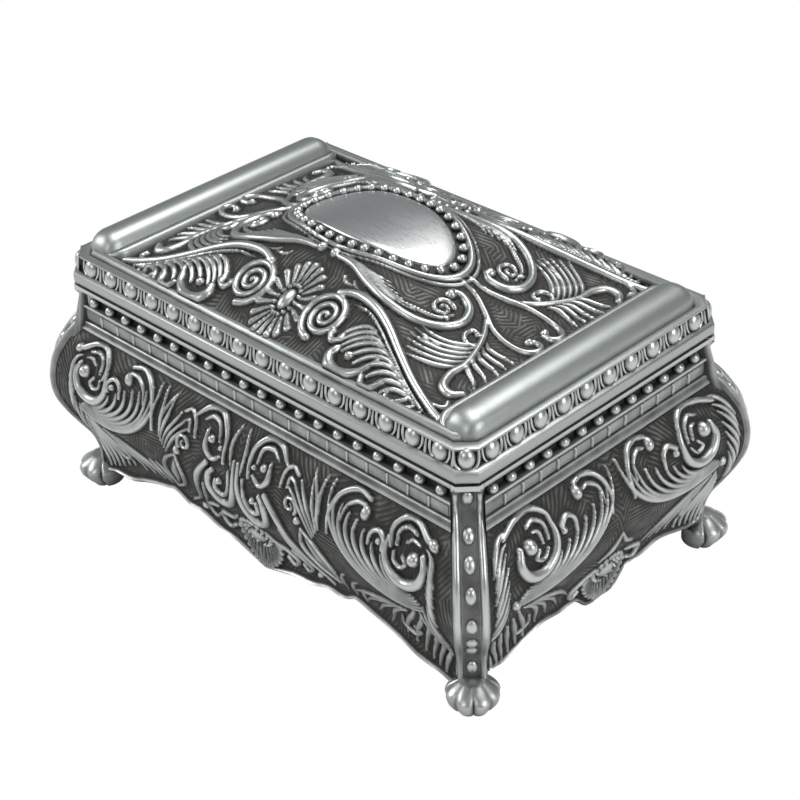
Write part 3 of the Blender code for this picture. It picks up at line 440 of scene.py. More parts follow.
@dataclass
class NodeKit:
    """Adds nodes to a tree, with their settings and links in one call."""

    tree: bpy.types.NodeTree

    def wire(self, node: bpy.types.Node, inputs: dict) -> None:
        """Set each input of a node, by name or index, to a value or to another node's output."""
        for key, value in inputs.items():
            if isinstance(value, bpy.types.NodeSocket):
                self.tree.links.new(value, node.inputs[key])
            else:
                node.inputs[key].default_value = value

    def add(self, kind: str, inputs: dict, **settings: object) -> bpy.types.Node:
        """Add a node.

        Args:
            kind: the node's type.
            inputs: value or source of each input.
            settings: properties of the node itself.

        Returns:
            The new node.
        """
        node = self.tree.nodes.new(kind)
        for name, value in settings.items():
            setattr(node, name, value)
        self.wire(node, inputs)
        return node


@dataclass
class Scatter:
    """Sets one shape on many places with Geometry Nodes.

    Attributes:
        name: name of the finished piece.
        shape: vertices and faces of the shape, in millimetres: x across, y along, z outward.
        material: finish of the piece.
        cavity: brightness of each vertex of the shape: patina, with painted highlights and painted shade.
        scale: size of the shape as a factor.
    """

    name: str
    shape: tuple[Array, list]
    material: bpy.types.Material
    cavity: Array | None = None
    scale: tuple[float, float, float] = (1.0, 1.0, 1.0)

    def tree(self) -> bpy.types.NodeTree:
        """Node tree that instances the shape on points and realizes it."""
        tree = bpy.data.node_groups.new(self.name + "_layout", "GeometryNodeTree")
        for label, kind in (("Geometry", "NodeSocketGeometry"), ("Shape", "NodeSocketObject"),
                            ("Across", "NodeSocketFloat"), ("Along", "NodeSocketFloat"),
                            ("Rise", "NodeSocketFloat"), ("Finish", "NodeSocketMaterial")):
            tree.interface.new_socket(name=label, in_out="INPUT", socket_type=kind)
        tree.interface.new_socket(name="Geometry", in_out="OUTPUT", socket_type="NodeSocketGeometry")
        kit = NodeKit(tree)
        entry = kit.add("NodeGroupInput", {}).outputs
        info = kit.add("GeometryNodeObjectInfo", {"Object": entry["Shape"]})
        turn = kit.add("GeometryNodeInputNamedAttribute", {"Name": "turn"}, data_type="FLOAT_VECTOR")
        size = kit.add("ShaderNodeCombineXYZ",
                       {"X": entry["Across"], "Y": entry["Along"], "Z": entry["Rise"]})
        place = kit.add("GeometryNodeInstanceOnPoints", {
            "Points": entry["Geometry"], "Instance": info.outputs["Geometry"],
            "Rotation": turn.outputs["Attribute"], "Scale": size.outputs["Vector"]})
        real = kit.add("GeometryNodeRealizeInstances", {"Geometry": place.outputs["Instances"]})
        finish = kit.add("GeometryNodeSetMaterial", {"Geometry": real.outputs["Geometry"],
                                                     "Material": entry["Finish"]})
        kit.add("NodeGroupOutput", {"Geometry": finish.outputs["Geometry"]})
        return tree

    def build(self, places: Sequence[tuple[Vector, Vector, Vector]]) -> bpy.types.Object:
        """Make the piece.

        Args:
            places: for each copy its place in millimetres, its outward axis and its along axis.

        Returns:
            The finished piece as a plain mesh.
        """
        source = make_piece(self.name + "_shape", *self.shape, self.material, self.cavity)
        mesh = bpy.data.meshes.new(self.name + "_places")
        mesh.from_pydata([tuple(Vector(p) * MM) for p, _, _ in places], [], [])
        layer = mesh.attributes.new("turn", "FLOAT_VECTOR", "POINT")
        for i, (_, outward, along) in enumerate(places):
            out = Vector(outward).normalized()
            up = (Vector(along) - out * Vector(along).dot(out)).normalized()
            matrix = Matrix((up.cross(out), up, out)).transposed()
            layer.data[i].vector = matrix.to_euler()
        holder = add_object(self.name + "_places", mesh)
        modifier = holder.modifiers.new("layout", "NODES")
        modifier.node_group = self.tree()
        values = {"Shape": source, "Across": self.scale[0], "Along": self.scale[1], "Rise": self.scale[2],
                  "Finish": self.material}
        for item in modifier.node_group.interface.items_tree:
            if item.in_out == "INPUT" and item.name in values:
                modifier[item.identifier] = values[item.name]
        result = evaluated_mesh(holder)
        holder.modifiers.remove(modifier)
        for extra in (holder, source):
            bpy.data.objects.remove(extra, do_unlink=True)
        result.name = self.name
        if not result.materials:
            result.materials.append(self.material)
        return add_object(self.name, result)


# Finishes


def new_material(name: str) -> tuple[bpy.types.Material, NodeKit, bpy.types.Node]:
    material = bpy.data.materials.new(name)
    material.use_nodes = True
    return material, NodeKit(material.node_tree), material.node_tree.nodes["Principled BSDF"]


@dataclass(frozen=True)
class PewterFinish:
    """Antiqued metal: bright where it is rubbed and where highlights are painted, dark in its recesses with
    patina and painted shade.

    Attributes:
        name: material's name.
        bright: colour of the rubbed edges and of the painted highlights.
        dark: colour of the patina and of the painted shade.
        rough: roughness of the bright and of the dark metal.
        grain: strength of the cast or brushed surface.
        brushed: stretch of the grain along X; 1 is cast.
        patina: levels of the cavity at which the metal is dark (patina and painted shade) and at which it is
            bright (rubbed edges and painted highlights).
        stain: how far cloudy stains shift those levels.
        stain_scale: scale of the stains.
        grain_scale: scale of the grain.
        grain_depth: height of the grain in metres.
        uneven: how far the grain shifts the roughness.
        dark_metallic: metallic value of the patina.
    """

    name: str
    bright: tuple[float, float, float] = (0.43, 0.45, 0.435)
    dark: tuple[float, float, float] = (0.022, 0.021, 0.018)
    rough: tuple[float, float] = (0.30, 0.55)
    grain: float = 0.25
    brushed: float = 1.0
    patina: tuple[float, float] = (0.26, 0.92)
    stain: float = 0.30
    stain_scale: float = 260.0
    grain_scale: float = 2600.0
    grain_depth: float = 0.00008
    uneven: float = 0.14
    dark_metallic: float = 0.55

    def build(self) -> bpy.types.Material:
        """Make the material with its nodes."""
        material, kit, shader = new_material(self.name)
        coords = kit.add("ShaderNodeTexCoord", {}).outputs["Object"]
        stretch = kit.add("ShaderNodeMapping", {"Vector": coords, "Scale": (1.0 / self.brushed, 1.0, 1.0)})
        level = kit.add("ShaderNodeAttribute", {}, attribute_name="cavity").outputs["Fac"]
        cloud = kit.add("ShaderNodeTexNoise",
                        {"Vector": coords, "Scale": self.stain_scale, "Detail": 5.0}).outputs["Fac"]
        fine = kit.add("ShaderNodeTexNoise", {"Vector": stretch.outputs["Vector"],
                                              "Scale": self.grain_scale, "Detail": 3.0}).outputs["Fac"]
        stained = kit.add("ShaderNodeMath", {0: cloud, 1: self.stain, 2: level}, operation="MULTIPLY_ADD")
        ramp = kit.add("ShaderNodeValToRGB", {"Fac": stained.outputs[0]})
        ramp.color_ramp.interpolation = "EASE"
        for element, position in zip(ramp.color_ramp.elements, self.patina):
            element.position = position
        # Mix factor: rubbed edges and patina, together with the painted highlights and painted shade held in
        # the cavity attribute
        rubbed = ramp.outputs["Color"]
        colour = kit.add("ShaderNodeMix",
                         {"A": (*self.dark, 1.0), "B": (*self.bright, 1.0), "Factor": rubbed},
                         data_type="RGBA")
        rough = kit.add("ShaderNodeMapRange",
                        {"To Min": self.rough[1], "To Max": self.rough[0], "Value": rubbed})
        uneven = kit.add("ShaderNodeMath", {0: fine, 1: self.uneven, 2: rough.outputs["Result"]},
                         operation="MULTIPLY_ADD")
        metal = kit.add("ShaderNodeMapRange", {"To Min": self.dark_metallic, "To Max": 1.0, "Value": rubbed})
        bump = kit.add("ShaderNodeBump",
                       {"Strength": self.grain, "Distance": self.grain_depth, "Height": fine})
        kit.wire(shader, {"Base Color": colour.outputs["Result"], "Roughness": uneven.outputs[0],
                          "Metallic": metal.outputs["Result"], "Normal": bump.outputs["Normal"]})
        return material


@dataclass(frozen=True)
class VelvetFinish:
    """Short-pile velvet with sheen and brushed patches.

    Attributes:
        name: material's name.
        deep: colour where the pile leans away.
        light: colour where the pile catches the light.
        patch_scale: scale of the brushed patches.
        pile_scale: scale of the pile.
        pile_depth: height of the pile in metres.
    """

    name: str
    deep: tuple[float, float, float] = (0.050, 0.004, 0.010)
    light: tuple[float, float, float] = (0.170, 0.016, 0.032)
    patch_scale: float = 55.0
    pile_scale: float = 3500.0
    pile_depth: float = 0.0002

    def build(self) -> bpy.types.Material:
        """Make the material with its nodes."""
        material, kit, shader = new_material(self.name)
        coords = kit.add("ShaderNodeTexCoord", {}).outputs["Object"]
        patches = kit.add("ShaderNodeTexNoise", {"Vector": coords, "Scale": self.patch_scale, "Detail": 4.0})
        pile = kit.add("ShaderNodeTexNoise",
                       {"Vector": coords, "Scale": self.pile_scale, "Detail": 2.0}).outputs["Fac"]
        blend = kit.add("ShaderNodeMath", {0: pile, 1: 0.5, 2: patches.outputs["Fac"]},
                        operation="MULTIPLY_ADD")
        spread = kit.add("ShaderNodeMapRange", {"From Min": 0.5, "From Max": 1.0, "Value": blend.outputs[0]})
        colour = kit.add("ShaderNodeMix", {"A": (*self.deep, 1.0), "B": (*self.light, 1.0),
                                           "Factor": spread.outputs["Result"]}, data_type="RGBA")
        bump = kit.add("ShaderNodeBump", {"Strength": 0.5, "Distance": self.pile_depth, "Height": pile})
        kit.wire(shader, {"Base Color": colour.outputs["Result"], "Roughness": 0.92, "Sheen Weight": 0.55,
                          "Sheen Roughness": 0.35, "Sheen Tint": (0.75, 0.25, 0.32, 1.0),
                          "Normal": bump.outputs["Normal"]})
        return material


@dataclass
class Finishes:
    """All materials of the box."""

    antique: bpy.types.Material
    pewter: bpy.types.Material
    bar: bpy.types.Material
    polished: bpy.types.Material
    steel: bpy.types.Material
    velvet: bpy.types.Material

    @classmethod
    def make(cls) -> "Finishes":
        """Build each finish once."""
        return cls(antique=PewterFinish("antique_cast_pewter").build(),
                   pewter=PewterFinish("rubbed_pewter", rough=(0.27, 0.5)).build(),
                   bar=PewterFinish("satin_bar_pewter", bright=(0.33, 0.35, 0.34), rough=(0.36, 0.55),
                                    grain=0.2, brushed=12.0).build(),
                   polished=PewterFinish("brushed_plate_pewter", bright=(0.52, 0.53, 0.525),
                                         rough=(0.22, 0.4), grain=0.16, brushed=25.0).build(),
                   steel=PewterFinish("drawn_pin_steel", rough=(0.25, 0.4), brushed=8.0).build(),
                   velvet=VelvetFinish("wine_velvet_pile").build())


# Sub-assemblies


@dataclass
class BoxForm:
    """Sizes that the sub-assemblies share, as in the CAD source."""

    half_length: float = 62.0
    half_width: float = 39.2
    chamfer: float = 3.2
    gap: float = 0.05
    body_height: float = 54.25
    neck_bottom: float = 43.2
    belly: float = 6.3
    post_width: float = 7.2
    lid_base: float = 54.55
    ledge: float = 61.6
    lid_top: float = 76.2
    crown_run: float = 51.4
    crown_rise: float = 13.6
    crown_step: float = 1.7
    crown_sag: float = 2.6
    crown_slope: float = 0.52
    crown_inset: float = 3.7
    crown_blend: float = 0.7
    cad_crown_rise: float = 12.4
    cad_ledge: float = 63.95
    # Share of the neck's height, share of the belly
    belly_table: tuple[Point, ...] = (
        (0.0, 0.05), (0.055, 0.04), (0.24, 0.03), (0.31, 0.11), (0.37, 0.30), (0.447, 0.56), (0.523, 0.795),
        (0.59, 0.94), (0.67, 1.0), (0.765, 0.94), (0.835, 0.82), (0.89, 0.65), (0.95, 0.42), (1.0, 0.10),
    )
    # Share of the body's height, share of the belly, share of the post's width
    post_table: tuple[tuple[float, float, float], ...] = (
        (0.0, 0.0, 0.86), (0.07, 0.008, 0.86), (0.21, 0.03, 0.88), (0.262, 0.145, 0.91), (0.324, 0.43, 0.95),
        (0.387, 0.70, 0.98), (0.46, 0.935, 1.0), (0.53, 1.008, 1.0), (0.61, 0.955, 0.98), (0.682, 0.81, 0.95),
        (0.737, 0.595, 0.93), (0.793, 0.335, 0.90), (0.846, 0.02, 0.89), (0.87, -0.09, 0.89),
        (0.93, -0.10, 0.89), (0.966, -0.05, 0.89), (0.978, 0.016, 0.89), (1.0, 0.016, 0.89),
    )

    def __post_init__(self) -> None:
        """Prepare the smooth curves."""
        belly = self.belly_table
        self.belly_curve = hermite_table([(s * self.neck_bottom, b * self.belly) for s, b in belly])
        posts = self.post_table
        self.post_curve = hermite_table([(s * self.body_height, b * self.belly) for s, b, _ in posts])
        self.width_curve = hermite_table([(s * self.body_height, w * self.post_width) for s, _, w in posts])

    def wall_end(self, half: float, out: Array, z: Array) -> Array:
        """Where a wall ends beside the post."""
        return half + out - (self.width_curve(z) / 2 + self.gap) * ROOT_TWO

    def on_side(self, side: int, along: Array, out: Array, z: Array) -> Array:
        """World places from places along a side, out from the rim's plane, and up.

        Sides are numbered 0 front, 1 right, 2 back, 3 left.
        """
        depth = (self.half_width if side % 2 == 0 else self.half_length) + np.asarray(out, float)
        along = np.asarray(along, float)
        c, s = ((1, 0), (0, 1), (-1, 0), (0, -1))[side]
        x = c * along + s * depth
        y = s * along - c * depth
        return np.stack(np.broadcast_arrays(x, y, np.asarray(z, float)), -1)

    def facing(self, side: int) -> Vector:
        """Outward direction of a side."""
        return Vector(self.on_side(side, 0, 1, 0) - self.on_side(side, 0, 0, 0))

    def corner(self, sign_x: float, sign_y: float, across: Array, outward: Array, z: Array) -> Array:
        """World places in a corner's frame: across it, out along its diagonal, and up."""
        x = self.half_length + (np.asarray(outward, float) + across) / ROOT_TWO
        y = self.half_width + (np.asarray(outward, float) - across) / ROOT_TWO
        return np.stack(np.broadcast_arrays(sign_x * x, sign_y * y, np.asarray(z, float)), -1)

    def outline(self, inset: float) -> list[Point]:
        """Plan of the rim with its cut corners, drawn in by an inset, anticlockwise."""
        hx, hy, ch = self.half_length - inset, self.half_width - inset, self.chamfer
        corners = []
        for sx, sy in ((1, -1), (1, 1), (-1, 1), (-1, -1)):
            a, b = (sx * (hx - ch), sy * hy), (sx * hx, sy * (hy - ch))
            corners += [a, b] if sx * sy < 0 else [b, a]
        return corners

    def crown_surface(self, x: Array, y: Array, rise: float, foot: float) -> Array:
        """Height of a hump along X that the front and back slopes cut down.

        Args:
            x: places along the box.
            y: places across the box.
            rise: how far the hump falls from the middle to the ends.
            foot: height at which the slopes start.

        Returns:
            Height at each place.
        """
        phase = np.minimum(np.abs(x) / self.crown_run, 1.0) * math.pi / 2
        hump = self.lid_top - rise * np.sin(phase) ** 2 - self.crown_sag * (y / self.half_width) ** 2
        blend = self.crown_blend
        slope = foot - blend + self.crown_slope * (self.half_width - self.crown_inset - np.abs(y))
        lower, upper = np.minimum(hump, slope), np.maximum(hump, slope)
        return lower - blend * np.log(1 + np.exp((lower - upper) / blend))

    def crown(self, x: Array, y: Array) -> Array:
        """Height of the lid's crown, lower at its ends than the CAD source's."""
        return self.crown_surface(x, y, self.crown_rise, self.ledge + self.crown_step)

    def cad_crown(self, x: Array, y: Array) -> Array:
        """Height of the CAD source's crown, which the lid's CAD lining follows."""
        return self.crown_surface(x, y, self.cad_crown_rise, self.cad_ledge)


# Lower edge of the walls: place from the middle and height
LONG_APRON = ((0, 4.2), (5, 5.5), (10, 6.8), (15, 7.4), (21, 9.2), (25.4, 9.2), (29.5, 11.1), (33, 10.2),
              (37.5, 9), (42, 7.5), (47, 5.6), (50, 5.2), (53, 5.0), (56, 4.2), (60, 3.6))
SHORT_APRON = ((0, 6), (4, 6.1), (8, 9.4), (13.5, 9.5), (19, 10.2), (23, 9.3), (27.7, 7.9), (31, 7.2),
               (34, 7.5), (38, 7.5))

# Half widths along a long feather, from its root to its tip
FEATHER = (0.35, 0.75, 0.8, 0.62, 0.3)


@dataclass
class Wall:
    """One bombe wall with neck mouldings, ornament and a scalloped apron."""

    form: BoxForm
    finishes: Finishes
    label: str
    side: int
    beads: int
    apron: tuple[Point, ...]
    pitch: float = 0.29
    sunk: float = 0.45
    bead_radius: float = 1.25
    bead_margin: float = 1.9
    bead_row: Point = (-1.35, 50.6)
    dentil_row: Point = (-0.68, 46.95)
    panel_height: float = 40.0
    apron_rim: tuple[float, float, float] = (0.75, 0.45, 0.8)
    apron_fade: float = 1.4
    fade: Point = (0.6, 0.5)
    thickness: float = 2.0
    neck_depth: float = 3.3
    neck_floor: float = 44.0
    neck_top: float = 54.2
    # Outward place, height, patina with painted shade on the channel floor behind the beads
    neck: tuple[tuple[float, float, float], ...] = (
        (0.1, 54.2, 0.7), (0.1, 53.9, 0.8), (0.1, 53.2, 0.8), (-0.05, 53.05, 0.6), (-1.2, 52.95, 0.1),
        (-2.0, 52.6, 0.0), (-2.2, 51.2, 0.0), (-2.1, 49.9, 0.0), (-1.5, 49.5, 0.2), (-0.45, 49.45, 0.7),
        (-0.3, 49.2, 0.9), (-0.32, 48.9, 0.8), (-0.6, 48.75, 0.2), (-0.78, 48.6, 0.2), (-0.72, 48.2, 0.38),
        (-0.66, 47.0, 0.42), (-0.66, 46.0, 0.4), (-0.78, 45.4, 0.15), (-0.6, 45.25, 0.2), (-0.25, 45.15, 0.6),
        (-0.1, 44.9, 0.35), (-0.05, 44.4, 0.3), (0.15, 43.9, 0.4), (0.42, 43.6, 0.75), (0.5, 43.35, 0.85),
        (0.35, 43.22, 0.4), (0.05, 43.15, 0.1),
    )

    @property
    def half(self) -> float:
        """Half the length of the rim on this side."""
        return self.form.half_length if self.side % 2 == 0 else self.form.half_width

    @property
    def row_half(self) -> float:
        """Half the length of the bead row, between the middles of its end beads."""
        return float(self.form.wall_end(self.half, -1.6, 49.45)) - self.bead_margin

    def row(self, alongs: Sequence[float], out: float, z: float) -> list[tuple[Vector, Vector, Vector]]:
        """Places in a row along the wall, each facing outward and upright."""
        facing = self.form.facing(self.side)
        return [(Vector(self.form.on_side(self.side, a, out, z)), facing, Vector((0, 0, 1))) for a in alongs]

    def apron_edge(self, along: Array) -> Array:
        """Height of the lower edge at places along the wall."""
        return hermite_table(self.apron)(np.abs(along))

    def relief(self, along: Array, z: Array) -> Relief:
        """Ornament of the wall, mirrored about its middle."""
        art = Relief(np.abs(along), z)
        art.hatch(pitch=0.95, depth=0.16, patch=6.5, seed=11 + self.side % 2)
        if self.side % 2 == 0:
            self.draw_long(art)
        else:
            self.draw_short(art)
        return art

    def draw_long(self, art: Relief) -> None:
        """Ornament of the front and back panels."""
        art.fan([(55, 26, 203, 27.3, 42, 84), (53.8, 27.4, 203, 31.8, 38.6, 72),
                 (52.2, 28.4, 203, 37.2, 37.2, 66), (50.6, 29.6, 203, 43.4, 33.6, 100)], 8, FEATHER, 1.15)
        art.stroke([(28, 31.5), (28.2, 36.5), (30, 40.6), (33.6, 42.5), (37.4, 42)], (0.3, 0.6, 0.6, 0.45),
                   1.1)
        art.stroke([(31.4, 36), (32.2, 39), (34.4, 40.7), (36.8, 40.9)], (0.25, 0.5, 0.5), 1)
        art.ball((37.4, 39.6), 1.15, 1.5, 1.3, 80)
        art.stroke([(39.6, 34.5), (39.9, 36.9), (41.8, 38), (43.6, 36.9), (43.8, 35)], (0.4, 0.6, 0.75), 1.15)
        art.ball((42.4, 36.1), 0.8, 1.2)
        # C-scroll beside the post
        art.stroke([(44.6, 38.2), (44.7, 34), (47, 31.2), (50.6, 30.4), (53.8, 32), (55, 35.2), (54, 37.6)],
                   (0.45, 0.9, 1.25, 1.3, 1, 0.7), 1.65)
        art.stroke([(45.6, 36.6), (45, 40), (47, 42.3), (50.4, 42.5), (54.2, 40.8)], (0.45, 0.6, 0.6, 0.7),
                   1.25)
        art.stroke([(47, 37.4), (46.8, 40), (48.6, 41.2), (51.2, 40.8)], (0.35, 0.45, 0.45), 1.1)
        art.stroke([(46.6, 36), (47, 34.2), (48.8, 33.4), (50, 34.6), (49, 35.8)], (0.35, 0.5, 0.4), 1)
        art.stroke([(49.2, 38.6), (50.6, 39.6), (52.6, 39.2)], (0.3, 0.5, 0.3), 1)
        art.ball((52, 36.4), 1.55, 2)
        art.ball((55.6, 40.4), 1, 1.3, 1.5, 150)
        art.fan([(57.8, 33, 120, 54.2, 39.2, 170), (58, 28.5, 110, 55.4, 35, 130),
                 (57.8, 23, 100, 55.9, 31, 120)], 5, (0.3, 0.65, 0.25), 1)
        art.fan([(57.4, 12.5, 105, 53.6, 25.5, 100), (57.6, 16, 100, 56.2, 28.5, 95)], 3,
                (0.3, 0.7, 0.6, 0.25), 1)
        # Small leaves and curls between the large scrolls
        art.stroke([(24.6, 30), (25, 35.5), (23.6, 38.8), (21.6, 42)], (0.3, 0.65, 0.5, 0.25), 1,
                   Profile.VEINED)
        art.fan([(25.4, 31, 95, 25.2, 42, 80), (24.4, 29.5, 105, 19, 39, 120),
                 (23.5, 28, 120, 15.6, 36.8, 150)], 5, (0.25, 0.6, 0.25), 1)
        art.stroke([(13.6, 35.6), (14.2, 39), (16, 40.6), (18, 39.6)], (0.3, 0.5, 0.4), 1)
        art.stroke([(15.6, 36.2), (16, 38.4), (17.6, 37.8)], (0.3, 0.4, 0.3), 0.9)
        art.spiral((17, 33), (2.1, 0.5), (-40, 420), (0.5, 0.35), 1)
        art.ball((19.3, 30.3), 0.95, 1.25, 1.2, 60)
        art.stroke([(20.2, 28.8), (19.6, 23.5), (22.2, 18.2), (26.2, 15.2)], (0.3, 0.5, 0.45, 0.3), 1)
        art.stroke([(20.2, 28.8), (24.4, 25.6), (26.6, 20.8), (26.6, 15.2)], (0.3, 0.5, 0.45, 0.3), 1)
        art.stroke([(21, 27), (23.2, 21.5), (25.8, 16.2)], (0.4, 1.5, 0.4), 0.75)
        art.stroke([(9.4, 31.6), (12.8, 27.4), (15.4, 21.6), (18.6, 15.8), (23, 12.2)],
                   (0.8, 0.9, 0.6, 0.5, 0.3), 1.2)
        art.stroke([(12.2, 24.5), (14.2, 19.5), (17.2, 14.6)], (0.3, 0.5, 0.3), 0.9)
        # Hooks and the upper curl at the middle
        art.stroke([(0.6, 35.4), (0.9, 28.6), (3, 23.6), (6.6, 22.6), (9, 25.2), (8.8, 29), (7.6, 30.6)],
                   (0.35, 0.8, 1.05, 1, 0.9, 0.6), 1.5)
        art.stroke([(2.2, 32.5), (2.6, 28), (4.6, 25.2), (6.9, 26.2), (6.6, 28.4)], (0.3, 0.5, 0.6, 0.5), 1.2)
        art.ball((5.4, 28.6), 0.85, 1.3)
        art.stroke([(1.4, 33), (2.2, 38.4), (1.2, 42.4)], (0.25, 0.5, 0.25), 0.9)
        art.stroke([(4, 33.5), (4.2, 39.5), (7.2, 42.7), (11.2, 42.6), (14.4, 40.2)],
                   (0.35, 0.55, 0.75, 0.7, 0.35), 1.25)
        art.stroke([(6, 37.5), (6.8, 40.6), (9.4, 41.4), (11.6, 40.2)], (0.3, 0.5, 0.5, 0.3), 1)
        art.stroke([(9.9, 38.6), (9.8, 35.2), (7.6, 33.2), (5.2, 34.6)], (0.4, 0.75, 0.6, 0.35), 1.2)
        art.ball((8.3, 37.3), 0.95, 1.35)
        art.ball((5.3, 36.4), 0.6, 1)
        # Lower leaves along the apron
        art.fan([(52.5, 25.5, -110, 44.5, 11.5, -100), (55.5, 21, -105, 50.5, 8.5, -95),
                 (57, 14, -105, 54.8, 6.6, -95)], 6, (0.35, 0.75, 0.6, 0.3), 1.05)
        art.stroke([(46, 18.5), (44.6, 14.6), (47, 12.6), (49.2, 14.2), (48.2, 16)], (0.3, 0.55, 0.5, 0.4), 1)
        art.fan([(44, 21.5, 195, 30, 15, -140), (49, 22, 200, 40, 12, -120)], 4, (0.3, 0.7, 0.5, 0.25), 0.9)
        art.fan([(30.5, 21, 210, 27.5, 13.6, -100), (36.5, 19, 200, 33, 13.2, -100)], 3, (0.3, 0.6, 0.25),
                0.8)
        art.stroke([(4.6, 18), (7, 15.8), (10.4, 15.6), (12.2, 13.2), (10.6, 11), (8.6, 12.2)],
                   (0.35, 0.6, 0.75, 0.6, 0.5), 1.15)
        art.stroke([(12, 16.6), (15.2, 15.8), (16.6, 13.4), (15, 11.6), (13.6, 12.8)], (0.35, 0.6, 0.5, 0.4),
                   1)
        art.ball((18.8, 12.6), 0.8, 1.1, 1.4, 30)
        art.daisy((0, 14.4), (2.7, 2.1), (7.2, 9.4), range(-174, 0, 12), 1.5)
        art.daisy((0, 14.4), (2.7, 2.1), (5.4, 4.6), range(12, 174, 18), 1.5)

    def draw_short(self, art: Relief) -> None:
        """Ornament of the end panels."""
        art.fan([(32.6, 26.6, 192, 1.4, 41.6, 92), (31.6, 27.6, 193, 6.2, 37.8, 98),
                 (30, 28.6, 195, 13, 35.2, 104), (27.8, 29.6, 196, 19.2, 32.6, 110)], 8, FEATHER, 1.15)
        art.stroke([(3.6, 33), (3.2, 38.2), (5, 41.6), (8.2, 42.7), (11, 42.2)], (0.35, 0.6, 0.6, 0.5), 1.15)
        art.stroke([(5, 36), (5.4, 39.4), (7.6, 41), (9.4, 40.8)], (0.3, 0.5, 0.4), 1)
        art.ball((11.3, 40.8), 1.25, 1.6, 1.15, 80)
        art.stroke([(14, 34.4), (14.1, 37.2), (16, 38.4), (18, 37.2)], (0.4, 0.6, 0.7), 1.15)
        art.ball((17.7, 36.2), 0.9, 1.3)
        art.stroke([(20.6, 40.6), (19.9, 36.8), (21.2, 33), (24.6, 30.9), (28.6, 31.6), (30.6, 34.6),
                    (29.8, 37.6)], (0.45, 0.85, 1.15, 1.35, 1.15, 0.75), 1.7)
        art.stroke([(20.2, 37.8), (20.7, 41), (23.8, 42.8), (28.2, 42.5), (32.8, 41)], (0.4, 0.6, 0.65, 0.5),
                   1.25)
        art.stroke([(22, 36.6), (22.2, 39.6), (24.2, 41.1), (26.4, 40.6)], (0.35, 0.5, 0.4), 1.1)
        art.stroke([(23.6, 36.4), (24, 38.8), (25.4, 39.2)], (0.3, 0.45, 0.3), 1)
        art.stroke([(22.6, 35), (24.2, 33.4), (26.2, 34.2), (25, 35.6)], (0.35, 0.5, 0.4), 1)
        art.ball((27.3, 37.2), 1.65, 2.05)
        art.fan([(38, 36, 120, 31.6, 41.9, 175), (38.6, 30.5, 110, 33.2, 38.6, 140),
                 (38.4, 25, 100, 34.2, 33.6, 125), (37.6, 19, 100, 34.8, 28.4, 115)], 7,
                (0.3, 0.7, 0.6, 0.25), 1.05)
        art.ball((32.8, 26.9), 1, 1.3, 1.2, 60)
        art.fan([(31.5, 24.5, -115, 24.5, 11, -100), (34, 20.5, -105, 30, 9, -95),
                 (36, 15, -100, 33.6, 7.2, -95)], 6, (0.35, 0.75, 0.6, 0.3), 1.05)
        art.fan([(26, 24, 195, 12, 14.6, -130), (30, 24.5, 200, 21, 12.6, -115)], 4, (0.3, 0.7, 0.5, 0.25),
                0.9)
        art.stroke([(26, 19), (24.6, 15.6), (26.8, 13.6), (28.6, 15.2)], (0.3, 0.55, 0.4), 1)
        art.stroke([(4.8, 17.5), (8, 16.4), (10.8, 14.8), (10.2, 12.2), (8, 12.6)], (0.35, 0.6, 0.7, 0.5),
                   1.15)
        art.stroke([(0, 26), (2.2, 22.6), (5.4, 20.4)], (0.3, 0.6, 0.3), 0.9)
        art.daisy((0, 14.4), (2.6, 2.1), (6.8, 8), range(-174, 0, 12), 1.5)
        art.daisy((0, 14.4), (2.6, 2.1), (5, 4.6), range(12, 174, 18), 1.5)

    def build_panel(self) -> bpy.types.Object:
        """Make the wall itself."""
        form = self.form
        columns = int(2 * self.half / self.pitch)
        share = np.linspace(-1.0, 1.0, columns)
        neck = np.array(self.neck)
        neck_out, neck_z = np.repeat(neck[:, :1], columns, 1), np.repeat(neck[:, 1:2], columns, 1)
        rows = int(self.panel_height / self.pitch)
        along_edge = share * form.wall_end(self.half, 0.3, 8.0)
        edge = self.apron_edge(along_edge)
        drop = np.linspace(0.0, 1.0, rows + 1)[1:, None]
        z = form.neck_bottom - 0.05 + (edge - form.neck_bottom + 0.05) * drop
        base = form.belly_curve(z)
        along = share * form.wall_end(self.half, base, z)
        art = self.relief(along, z)
        above = z - edge[None, :]
        middle, spread, height = self.apron_rim
        rim = height * np.exp(-((above - middle) / spread) ** 2)
        art.height = np.maximum(art.height * np.clip(above / self.apron_fade, 0, 1) ** 0.5, rim)
        fade = np.clip((form.neck_bottom - z) / self.fade[1], 0, 1)
        fade = fade * np.clip((1 - np.abs(share)) * self.half / self.fade[0], 0, 1)
        art.height *= fade
        levels = np.linspace(0, 44, 200)
        lean = np.interp(z, levels, np.gradient(form.belly_curve(levels), levels[1]))
        norm = np.sqrt(1 + lean ** 2)
        rise = art.height - self.sunk * fade
        out = base + rise / norm
        z_out = z - rise * lean / norm
        patina = art.cavity(3)
        drops = (1.0, 0.75, 0.5, 0.25, 0.0)
        inner_z = [form.neck_bottom - 0.3 + (edge - form.neck_bottom + 0.3) * s for s in drops]
        inner_out = [form.belly_curve(level) - self.thickness for level in inner_z]
        inner_z += [np.full(columns, self.neck_floor), np.full(columns, self.neck_top)]
        inner_out += [np.full(columns, -self.neck_depth)] * 2
        all_out = np.vstack([neck_out, out, inner_out])
        all_z = np.vstack([neck_z, z_out, inner_z])
        ends = np.vstack([form.wall_end(self.half, neck_out, neck_z), form.wall_end(self.half, base, z),
                          form.wall_end(self.half, np.array(inner_out), np.array(inner_z))])
        points = form.on_side(self.side, share[None, :] * ends, all_out, all_z).reshape(-1, 3)
        total = all_out.shape[0]
        faces = grid_faces(total, columns)
        last = (total - 1) * columns
        faces += [(last + c, last + c + 1, c + 1, c) for c in range(columns - 1)]
